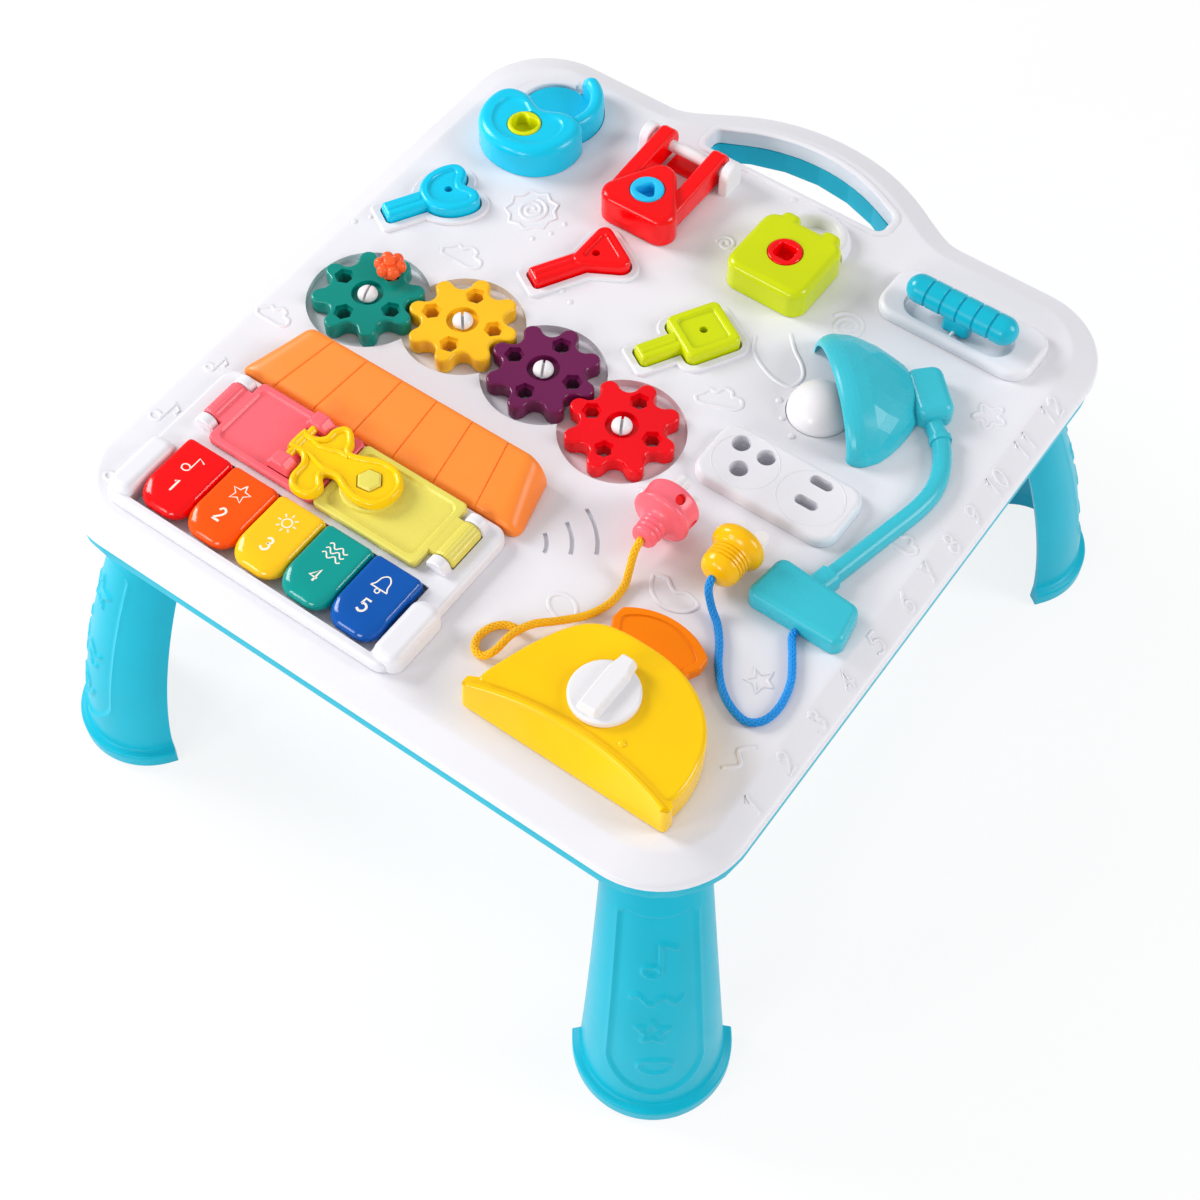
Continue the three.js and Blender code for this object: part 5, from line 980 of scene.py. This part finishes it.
# Hasp: a trunk with two round wings, outlined by one soft ridge, and its six-sided eye
HASP_POINTS = [(-101.5, 88.5), (-97, 88.4), (-92.8, 88.2), (-89.3, 84), (-88.6, 76), (-85, 70.5), (-78, 69),
               (-71.5, 72), (-70.5, 79), (-75.2, 84.7), (-70, 87), (-62, 83.7), (-52, 82), (-42.5, 85), (-38.2, 93.5),
               (-39.5, 103), (-47, 109), (-57, 109.5), (-66.5, 105.6), (-73, 104), (-75.5, 109), (-81, 114.5),
               (-86, 114.5), (-89.5, 109.5), (-89.9, 104), (-94, 101), (-98, 101.1), (-101.5, 101)]
hasp_line = [tuple(p) for p in smooth_line(HASP_POINTS, 5, closed=True)]
hasp = slab("hasp_plate", hasp_line, 13, 16.1, HASP, 1.0, 0.5)
join(hasp, [rod("pin", "y", (-98, 94.7, 15), 2.1, 26.4, HASP, 24)])
carve(hasp, [tool(polygon(*EYE, 12.7, 6, 8), 12, 18)])
place(hasp, "door_hasp", angle=40)
hasp_ridges = ridges("hasp_ridges", [[None] + inset(hasp_line, 1.9)], 3.6, 1.75, HASP, 15.9, sides=8)
inner = ridges("inner", [flow((-93.5, 98.6), (-88.5, 97.6), (-82.5, 98.8), (-78.5, 100.6), (-72.5, 100.8)),
                         flow((-93.5, 91.2), (-88, 90.6), (-82, 89), (-77.5, 88.4), (-72, 89.6))],
               2.8, 1.5, HASP, 15.9, sides=8)
place(merge(hasp_ridges, inner), "door_hasp", angle=60)

# Flower peg standing in the first gear
flower_turn = GEAR_PLACES["teal"][2] + 90
flower_at = moved([(17.8, 0)], *GEAR_PLACES["teal"][:2], flower_turn)[0]
flower = turned("flower_peg_piece", [(0, 9.5), (4.6, 9.5), (5.4, 10.2), (5.6, 12.4), (5.2, 13.9), (4, 14.6),
                                     (0, 14.7)], FLOWER, 48)
put(flower, *flower_at)
petals = []
for k in range(6):
    petal = turned("petal", [(0, 9.6), (2.5, 9.6), (3.1, 10.2), (3.35, 11.4), (3.3, 12.6), (2.9, 13.8), (2, 14.7),
                             (1, 15.1), (0, 15.2)], FLOWER, 28)
    petals.append(put(petal, *moved([(5.5, 0)], *flower_at, flower_turn + 60 * k)[0]))
join(flower, petals + [tool(circle(0, 0, 3.4, 32), 14, 16.6, 1.4, at=flower_at),
                       tool(polygon(0, 0, 6.2), -3.6, 12, at=flower_at, turn=flower_turn),
                       tool(polygon(0, 0, 9), 5.3, 10, at=flower_at, turn=flower_turn)])
place(flower, "flower_peg", angle=40)


# Padlocks, each with a turning ring and its shaped bore
KEYWAYS = {"heart": (-141.3, 337), "triangle": (-55.7, 334.5), "square": (29.5, 340.5)}
AXLE = (-57, 378, 10)


def keyway_piece(kind, high, bore, material):
    at = KEYWAYS[kind]
    ring = turned(f"{kind}_ring", [(0, high - 12), (9.4, high - 12), (9.4, high), (9.2, high + 0.5),
                                   (8.7, high + 0.8), (8.1, high + 0.9), (0, high + 0.9)], material, 64)
    put(ring, *at)
    mouth = [(0, high - 7), (0, high + 0.1), (-0.25, high + 0.6), (-0.9, high + 0.95), (-0.9, high + 3)]
    carve(ring, [stepped("bore", bore, mouth, material, at)])
    return place(ring, f"{kind}_lock_keyway", angle=40)


keyway_piece("heart", 17.8, heart(0, 0, 7.2, 5.8, 6.8, 4.6, 8), RING_YELLOW)
keyway_piece("triangle", 19, rounded([(-7.4, -4.6), (7.4, -4.6), (0, 7.8)], 2.4), RING_BLUE)
keyway_piece("square", 18, rectangle(-5.3, -5.3, 5.3, 5.3, 2.4), RED_LOCK)

lock = slab("heart_lock", heart(*KEYWAYS["heart"], 30.2, 21.8, 21.5, 16.4, 18), 0.3, 19, BLUE_LOCK, 5.4, steps=10)
bowl = stepped("bowl", heart(*KEYWAYS["heart"], 21, 13.8, 15, 8.8, 14),
               [(2.2, 17.8), (1.6, 17.84), (0.8, 18.1), (0.2, 18.55), (-0.3, 19.02), (-0.4, 22)], WHITE)
carve(lock, [bowl, tool(circle(*KEYWAYS["heart"], 9.8, 48), 5.5, 22)])
carve(lock, [tool(circle(*SHACKLE, 20.8, 56), -1, 2.1), tool(band(*SHACKLE, 19.5, 28.5, -66, 84, 40), -1, 16)])
place(lock, "heart_lock_body", angle=40)
horn_rings = []
for k in range(49):
    a = radians(-24 + 106 * k / 48)
    taper = min(1.0, max(0.0, (82 - degrees(a)) / 16)) ** 0.45
    top, thick = 2 + 13.5 * (0.4 + 0.6 * taper), 4 * (0.35 + 0.65 * taper)
    section = [(-thick, -1.1), (thick, -1.1)] + loops(0, top - 4, thick, 4, 0, 180, 16)
    horn_rings.append([row(SHACKLE[0] + (24 + r) * cos(a), SHACKLE[1] + (24 + r) * sin(a), z) for r, z in section])
horn = new_object("shackle_horn", rings_mesh(horn_rings), BLUE_LOCK)
join(horn, [tool(circle(*SHACKLE, 20.3, 64), -1.1, 1.6)])
place(horn, "heart_lock_shackle", angle=44)

lock = slab("triangle_lock", rounded([(-84.5, 316.5), (-24, 317.5), (-57.5, 365.5)], 9, 14), 0.4, 19, RED_LOCK, 3.8,
            0.6, steps=8)
arms = []
for x in (-74, -40):
    profile = arc(*AXLE[1:], 8.6, -90, 70, 22) + [(340, 15.3), (328, 14), (326, 10), (326, 2.4), (328, 1.4)]
    arms.append(upright("arm", "x", profile, x - 4.75, x + 4.75, RED_LOCK, 2.2, 5))
join(lock, arms)
carve(lock, [rod("bore", "x", AXLE, 3.5, 70), tool(circle(*KEYWAYS["triangle"], 9.8, 48), 6.6, 22)])
place(lock, "triangle_lock_body", angle=40)
place(rod("axle_bar", "x", AXLE, 3.25, 52, WHITE_KNOB, 36), "triangle_lock_axle")
place(slab("lock_pad", rectangle(-68, 370, -46.5, 388, 3), 0.3, 1.4, RED_LOCK, 0.4), "triangle_lock_pad")

lock = slab("square_lock", rectangle(5, 316.5, 54, 364.5, 9, 12), 0.3, 18, GREEN_LOCK, 4.4, steps=9)
ears = [tool(rectangle(x - 6, 352, x + 6, 368.6, 4.5, 8), 0.3, 18, 4, steps=8) for x in (18, 43)]
join(lock, ears)
carve(lock, [tool(band(*ARCH, 11.6, 20.4, -8, 188, 40), -1, 7.4), tool(circle(*KEYWAYS["square"], 9.8, 48), 5.6, 22)])
place(lock, "square_lock_body", angle=40)

# Toy keys: wide soft rims round a sunk face with a small eye, a rib along the shaft
for kind, material in (("heart", BLUE_LOCK), ("triangle", RED_LOCK), ("square", GREEN_LOCK)):
    at, line = KEY_HEADS[kind]
    head = slab("head", line, -2.6, 8, material, 2.4, steps=7, at=at, turn=KEY_TURN)
    join(head, [tool(rectangle(0, -6, 38, 6, 2.4), -2.6, 6.8, 2.4, steps=6, at=at, turn=KEY_TURN)])
    sunk = [(1.3, 6.5), (0.8, 6.55), (0.25, 6.95), (0, 7.5), (-0.3, 8.1), (-0.4, 10)]
    carve(head, [stepped("sunk", KEY_FACES[kind], sunk, WHITE, at, KEY_TURN),
                 tool(circle(0, 0, 2.3, 28), 0.5, 9, at=at)])
    head.name = f"{kind}_key_piece"
    place(head, f"{kind}_key", angle=44)
    reach = max(x for x, _ in line) + 1
    rib = ridges(f"{kind}_key_rib", [moved([(reach, 0), (36, 0)], *at, KEY_TURN)], 3.4, 0.8, material, 6.7, sides=8)
    place(rib, f"{kind}_key", angle=60)

# See-saw handle in its white block
ROCKER = (125.8, 361.3, 4)
block = slab("rocker_base", rectangle(81, 346, 172, 384, 12, 12), 0.3, 6, WHITE, 3.2, steps=8)
well = stepped("well", rectangle(94.8, 351.8, 156.8, 370.8, 9.4, 12), [
    (0.6, 1.4), (0.1, 1.7), (0, 2.2), (0, 4.6), (-0.3, 5.4), (-1.1, 5.95), (-1.2, 6.05), (-1.2, 9)], WHITE)
carve(block, [well, rod("pin", "y", ROCKER, 1.4, 27.4)])
place(block, "rocker_block")
half, radius = 32.5, 7.9
round_end = arc(0, radius - half, radius, -90, 0, 12)
profile = list(round_end)
for k in range(5):
    x = (k - 2) * 9.5
    profile += [(radius, x - 0.9), (radius - 0.3, x - 0.55), (radius - 1.0, x - 0.4), (radius - 1.0, x + 0.4),
                (radius - 0.3, x + 0.55), (radius, x + 0.9)]
profile += [(r, -z) for r, z in reversed(round_end)]
grip = turned("rocker_grip", profile, HANDLE, 56)
put(grip, *ROCKER[:2], 17, 0, Matrix.Rotation(radians(90), 4, "Y"))
join(grip, [tool(rectangle(117.8, 355.3, 133.8, 367.3, 3, 8), 3.2, 16)])
place(grip, "rocker_handle", angle=40)
place(rod("rocker_pin", "y", ROCKER, 1.2, 27, WHITE_KNOB, 32, 0.2), body="rocker_handle")

# Socket plate with an engraved ring round each group of holes
plate = slab("socket_plate", rectangle(63.5, 199.5, 146, 239, 10, 12), 0.3, 6.5, WHITE, 3.4, steps=8)
carve(plate, [tool(line, -1, 8) for line in SOCKET_HOLES])
place(plate, "socket_block")
for i, x in enumerate((84.9, 123.3)):
    oval = loops(x, 219.6, 17.64, 16.6, steps=72)[:-1]
    place(ridges(f"socket_ring_{i + 1}", [[None] + oval], 0.9, 0.28, WHITE, 6.45, sides=6), "socket_block")


# Desk lamp: faceted half shade with a smooth lip, round cap, bent arm, base and push bulb
def hull(name, points, material):
    mesh = bmesh.new()
    for p in points:
        mesh.verts.new(p)
    bmesh.ops.convex_hull(mesh, input=mesh.verts)
    loose = [v for v in mesh.verts if not v.link_faces]
    bmesh.ops.delete(mesh, geom=loose, context="VERTS")
    return new_object(name, finished(mesh), material)


def bell_ring(along, radius, count, shift=0.0, first=0.0, last=pi, low=0.3):
    """Points round the shade's flattened axis, at a distance along it"""
    out = []
    for k in range(count + 1):
        a = first + (last - first) * min(1.0, max(0.0, (k + shift) / count))
        z = radius * 0.66 * sin(a)
        out.append(Vector((along, radius * cos(a), z if low is None else max(low, z))) * MM)
    return out


points = []
for along, radius in ((0, 36.4), (0.2, 37.3), (0.8, 38.5), (2, 39.6), (4, 40.8), (6.5, 41.5), (9, 41.6)):
    points += bell_ring(along, radius, 60)
for i, (along, radius) in enumerate(((16, 40.2), (22.5, 36.6), (29, 31.8), (35.5, 25.7), (42, 18.3))):
    points += bell_ring(along, radius, 9, 0.5 * (i % 2)) + bell_ring(along, radius, 1)
shade_piece = hull("lamp_shade_piece", points, LAMP)
cap = slab("cap", rectangle(40, -22.3, 60, 9.5, 6, 10), 0.3, 13, LAMP, 5.4, steps=9, at=(0, 0, -210))
cap.data.transform(Matrix.Translation((-DECK[0] * MM, -DECK[1] * MM, 0)))
points = []
for along, radius in ((-1, 34.9), (4.8, 39.1), (12.8, 38.6), (22.8, 33.1), (31.8, 25.6), (39.6, 16.1)):
    points += bell_ring(along, radius, 48, 0, -pi, pi, None)
join(shade_piece, [cap])
carve(shade_piece, [hull("inner", points, LAMP)])
put(shade_piece, 98, 279, 0, 45)
soften(shade_piece, 0.35, 1, 9)
place(shade_piece, "lamp_shade", angle=6)


def swept_bar(name, line, half, side, top, material, low=0.3):
    """Bar along a line on the deck, with upright sides below a round top"""
    rings = []
    line = [Vector(p) for p in line]
    for i, p in enumerate(line):
        ahead = (line[min(i + 1, len(line) - 1)] - line[max(i - 1, 0)]).normalized()
        across = Vector((-ahead.y, ahead.x))
        section = [(half, low)] + loops(0, side, half, top - side, 0, 180, 14) + [(-half, low)]
        rings.append([row(p.x + across.x * r, p.y + across.y * r, z) for r, z in section])
    return new_object(name, rings_mesh(rings), material)


ARM_PATH = [(146.5, 301.5), (148.5, 297.5), (157, 290), (165.5, 276), (169.3, 262), (168.6, 247), (163.5, 224),
            (158.2, 200.6), (152.9, 177.2)]
arm = swept_bar("lamp_arm_piece", smooth_line(ARM_PATH, 8), 4.7, 3.0, 7.5, LAMP)
collar = swept_bar("collar", [(155.35, 187.9), (155.2, 187.2), (153.1, 178.1), (152.4, 175)], 6.3, 4.2, 9.1, LAMP)
join(arm, [collar, swept_bar("ring", [(155.2, 291.9), (157.3, 289.7)], 5.6, 4, 8.3, LAMP)])
place(arm, "lamp_arm", angle=44)
base_line = rounded([(128, 152.5), (182.5, 152), (178.5, 177), (131.5, 181)], 5.5, 10)
place(slab("lamp_base_piece", base_line, 0.3, 11, LAMP, 3.8, steps=8), "lamp_base")
dome = [(0, -5), (19.5, -5), (19.5, -3.1), (17, -3.1)] + loops(0, 0, 17, 15.5, 0, 90, 24)
place(put(turned("bulb_dome", dome, WHITE_KNOB, 72), *BULB), "lamp_bulb", angle=40)


# Toaster: body, apron under its bead, and the mouth for the toast
KNOB = (110.4, 63.3)
MIDDLE, FRONT, HALF = 110.5, 28.5, 57.5


def bow(base, rise, steps=40):
    """Flat arc over the toaster's front, as wide as the toaster"""
    radius = (HALF ** 2 + rise ** 2) / (2 * rise)
    sweep = degrees(asin(HALF / radius))
    return arc(MIDDLE, FRONT + base + rise - radius, radius, 90 - sweep, 90 + sweep, steps)


front = [p + (0,) for p in bow(3.8, 10.7)[3:-3]]
edge = flow((57, 35), (58, 43), (61, 53), (66, 67), (72.5, 80.5), (79, 89.5), (87, 95), (97, 97.2), (110, 97.6),
            (124, 96.6), (137, 93), (149.5, 85.5), (158.8, 75.5), (164.6, 63), (167, 50), (166.6, 40), (165, 34))
edge = [edge[0] + (3.2,)] + [p + (0,) for p in edge[4:-4]] + [edge[-1] + (3.2,)]
outline = rounded(list(reversed(edge + front)), 0)
body = slab("toaster_shell", outline, 0.3, 17.8, TOASTER, 2.6, steps=7)
apron_rings = []
back_row, ridge_row = bow(7, 14), list(reversed(bow(0.3, 10.7)))
for t, z in ((0, 0.3), (0, 1.2)) + tuple((k / 10, 1.8 + 16 * (k / 10) ** 0.92) for k in range(11)):
    inward = 0.5 if z < 1 else 0
    low_row = [(MIDDLE - HALF + 2 * HALF * k / 40, FRONT + inward) for k in range(41)]
    mixed = [(a[0] + (b[0] - a[0]) * t, a[1] + (b[1] - a[1]) * t, 0) for a, b in zip(low_row, ridge_row)]
    mixed += [(x, y, 0) for x, y in back_row]
    for k in (0, 40, 41, len(mixed) - 1):
        mixed[k] = mixed[k][:2] + (2.3,)
    apron_rings.append([row(x, y, z - (0.7 * t if hypot(x - MIDDLE, y + 120.3) > 161.8 else 0))
                        for x, y in rounded(mixed, 0, 5)])
apron = new_object("apron", rings_mesh(apron_rings), TOASTER)
dot = turned("dot", [(0, -4), (2, -4), (2, 0), (1.7, 0.5), (1, 0.8), (0, 0.85)], TOASTER, 24)
put(dot, 131.5, 47.5, 17.8)
join(body, [apron, dot])
carve(body, [box((84.8, 135.8), (60.5, 123), (2.9, 9.4)), tool(circle(*KNOB, 3.5, 32), 11.1, 22)])
place(body, "toaster_body", angle=40)
bead = ridges("toaster_bead", [bow(1.5, 10.6)[1:-1]], 3.6, 2.4, TOASTER, 17.2, sides=10)
place(bead, "toaster_body", angle=60)


def toast_line(shrink, middle=110.3, rise=8.4):
    """Slice with a waist and a domed crown"""
    neck, crown, top = 22.4 - shrink, 25.2 - shrink, 120.8 - shrink
    waist, shoulder = 99.5 + shrink / 2, 105 + shrink / 2
    wide = crown - 0.6
    half = [(neck, 81 + shrink), (neck, waist), (crown, shoulder), (wide, top - rise, 3)]
    radius = (wide * wide + rise * rise) / (2 * rise)
    sweep = degrees(asin(wide / radius))
    crest = [(x, y, 0) for x, y in arc(0, top - radius, radius, 90 - sweep, 90 + sweep, 24)[2:-2]]
    return rounded([(middle + p[0], *p[1:]) for p in half + crest]
                   + [(middle - p[0], *p[1:]) for p in reversed(half)], 2.2, 8)


bread = slab("toast_slice", toast_line(0), 3.3, 8.9, TOAST, 1.5, 0.4, steps=5)
sunk = [(0.8, 8.05), (0.5, 8.08), (0.1, 8.4), (-0.1, 8.95), (-0.1, 10)]
carve(bread, [stepped("sunk", toast_line(3.6), sunk, TOAST)])
place(bread, "toast", angle=40)

knob_disc = turned("timer_knob", [(0, 11.4), (3, 11.4), (3, 18.1), (17.1, 18.1), (17.3, 18.4), (17.3, 20.4),
                                  (17.1, 21.0), (16.6, 21.4), (15.9, 21.6), (0, 21.6)], WHITE_KNOB, 96)
put(knob_disc, *KNOB)
bar_line = rounded([(-6.2, -14.8, 2.6), (6.2, -14.8, 2.6), (6.4, 11.5, 3), (5.0, 17, 3), (4.9, 20.7, 2.8),
                    (-4.9, 20.7, 2.8), (-5.0, 17, 3), (-6.4, 11.5, 3)], 2.6, 6)
bar = [(0, 20.6), (0, 21.4), (0.6, 23), (1.2, 24.8), (1.4, 25.4), (1.8, 26.05), (2.4, 26.4)]
join(knob_disc, [stepped("bar", bar_line, bar, WHITE_KNOB, KNOB)])
place(knob_disc, "toaster_knob", angle=40)

# Raised lip round the carry slot, and the low drawings and numbers of the deck
place(ridges("slot_lip", [[None] + inset(slot_line, -1.7)], 4.2, 1.0, WHITE, -0.05, sides=8), "top_shell", angle=60)


def cloud(x, y, size, turn=0.0):
    return [None] + moved([(px * size, py * size) for px, py in flow(
        (-1, -0.35), (-1.15, 0), (-0.85, 0.25), (-0.6, 0.55), (-0.25, 0.45), (0.05, 0.75), (0.45, 0.65), (0.55, 0.35),
        (0.95, 0.3), (1.1, -0.05), (0.85, -0.35), (0.4, -0.4), (-0.1, -0.38), (-0.6, -0.42))], x, y, turn)


def note(x, y, size):
    flag = [(px * size + x, py * size + y) for px, py in ((0.4, 0.05), (0.4, 1.5), (1.0, 1.15), (0.95, 0.8))]
    return [[None] + loops(x, y, 0.42 * size, 0.32 * size, steps=12)[:-1], flag]


drawings = [cloud(-119, 250, 11), cloud(-174, 158, 9), cloud(50, 249, 11, 20), cloud(172, 226, 8),
            spiral(-109, 300, 1.5, 9, 2.2, 40), spiral(77, 330, 1.5, 10, 2.2, 100), spiral(-8, 342, 1, 5.5, 1.6),
            flow((41.1, 296), (46.7, 286.4), (58.3, 279.5), (67.7, 277), (74.8, 278.2), (76.8, 286.2), (72, 293.5),
                 (63.7, 299.7), (55.5, 308))]
drawings += [[None] + star_line(-109, 300, 15, 12.4, 9)[:-1]]
flower_reach = [(6.5 * (1 + 0.3 * cos(5 * a)), a) for a in around(40)]
drawings += [[None] + [(168 + r * cos(a), 321 + r * sin(a)) for r, a in flower_reach]]
drawings += note(-179, 72, 8) + note(-171, 30, 7) + note(-178, 112, 6)
drawings += [[None] + flow((84, 141), (88, 133), (98, 128), (108, 131), (112, 138), (104, 141), (98, 138.5),
                           (91, 143)),
             [None] + moved([(8.5 * cos(a) * (1 - 0.15 * sin(a)), 6 * sin(a)) for a in around(30)], 59.7, 99.9, -20),
             [None] + star_line(158.8, 121, 7, 3.4, 5, 70)[:-1], flow((170, 72), (176, 78), (171, 84), (177, 90)),
             wave(54, 178, 5, 1.2)]
place(ridges("deck_drawings", drawings, 2.3, 0.6, WHITE, -0.02, sides=7), "top_shell", angle=70)
dots = []
for x, y, r in ((75, 267, 2), (82.7, 258.2, 1.9), (92.8, 251, 2), (-96, 283, 1.4), (-90, 292, 1.4), (-88, 302, 1.4),
                (4, 391, 2.2), (-60, 262, 1.6), (-52, 258, 1.6), (-183, 236, 1.8), (-178, 244, 1.4)):
    one = turned("dots", [(0, -0.4), (r, -0.4), (r, 0), (r * 0.85, 0.4), (r * 0.5, 0.65), (0, 0.72)], WHITE, 20)
    dots.append(put(one, x, y))
place(merge(*dots), "top_shell", angle=60)
rim_x, rim_z, rim_slope = 186.4, -0.62, 0.402
numbers = []
for i, y in enumerate((65, 92.7, 119.3, 145.7, 171.9, 199.8, 220.8, 242.7, 264.3, 288, 317, 345)):
    for line in numeral(str(i + 1), 191.4, y, 6.0, 90, 0.22):
        numbers.append([(px, py, rim_z - (px - rim_x) * rim_slope) for px, py in line])
place(ridges("rim_numbers", numbers, 1.9, 0.65, WHITE, 0, sides=7), "top_shell", angle=70)

# Materials of all CAD nodes. The tray and its door are shown again with smooth shading, the inner parts as they are
for node, material in NODE_MATERIAL.items():
    NODES[node].data.materials.clear()
    NODES[node].data.materials.append(material)
for node in ("bottom_tray", "battery_door"):
    place(weld(new_object(f"{node}_dressed", NODES[node].data.copy(), NODE_MATERIAL[node])), node)

# Floor, world and lamps
floor_mesh = bpy.data.meshes.new("floor")
floor_mesh.from_pydata([(-6, -6, 0), (6, -6, 0), (6, 6, 0), (-6, 6, 0)], [], [(0, 1, 2, 3)])
floor_material = bpy.data.materials.new("floor_white")
floor_material.use_nodes = True
tree = floor_material.node_tree
link = tree.links.new
paint = set_inputs(tree.nodes["Principled BSDF"], {"Base Color": (0.9, 0.9, 0.9, 1), "Roughness": 0.7})
rays = tree.nodes.new("ShaderNodeLightPath").outputs
seen = tree.nodes.new("ShaderNodeMath")
seen.operation = "MAXIMUM"
link(rays["Is Camera Ray"], seen.inputs[0])
link(rays["Is Glossy Ray"], seen.inputs[1])
share = set_inputs(tree.nodes.new("ShaderNodeMath"), {1: 0.8})
share.operation = "MULTIPLY"
link(seen.outputs[0], share.inputs[0])
glow = set_inputs(tree.nodes.new("ShaderNodeEmission"), {"Strength": 1.03})
mix = tree.nodes.new("ShaderNodeMixShader")
for i, source in enumerate((share, paint, glow)):
    link(source.outputs[0], mix.inputs[i])
link(mix.outputs[0], tree.nodes["Material Output"].inputs["Surface"])
floor = new_object("floor", floor_mesh, floor_material)
floor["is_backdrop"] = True

world = bpy.data.worlds.new("studio")
bpy.context.scene.world = world
world.use_nodes = True
tree = world.node_tree
sky = set_inputs(tree.nodes["Background"], {"Color": (1, 1, 1, 1)})
level = set_inputs(tree.nodes.new("ShaderNodeMapRange"), {"To Min": 0.42, "To Max": 1.0})
tree.links.new(tree.nodes.new("ShaderNodeLightPath").outputs["Is Camera Ray"], level.inputs["Value"])
tree.links.new(level.outputs["Result"], sky.inputs["Strength"])


def lamp(name, spot, aim, size, power):
    light = bpy.data.lights.new(name, "AREA")
    light.shape, light.size, light.size_y = "RECTANGLE", *size
    light.energy = power
    obj = bpy.data.objects.new(name, light)
    bpy.context.scene.collection.objects.link(obj)
    obj.location = spot
    obj.rotation_mode = "QUATERNION"
    obj.rotation_quaternion = (Vector(aim) - Vector(spot)).to_track_quat("-Z", "Y")


lamp("key_softbox", (-1.75, -0.25, 1.25), (0, 0, 0.2), (0.8, 0.8), 30)
lamp("fill_softbox", (1.5, 0.7, 1.1), (0, 0, 0.2), (0.7, 0.9), 16)
lamp("front_softbox", (0.1, -1.8, 0.75), (0, 0, 0.15), (0.5, 0.5), 9)
lamp("front_window", (-0.75, -1.6, 0.8), (0, 0, 0.15), (0.45, 0.5), 7)
bpy.context.scene.view_settings.view_transform = "Standard"

low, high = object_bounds()
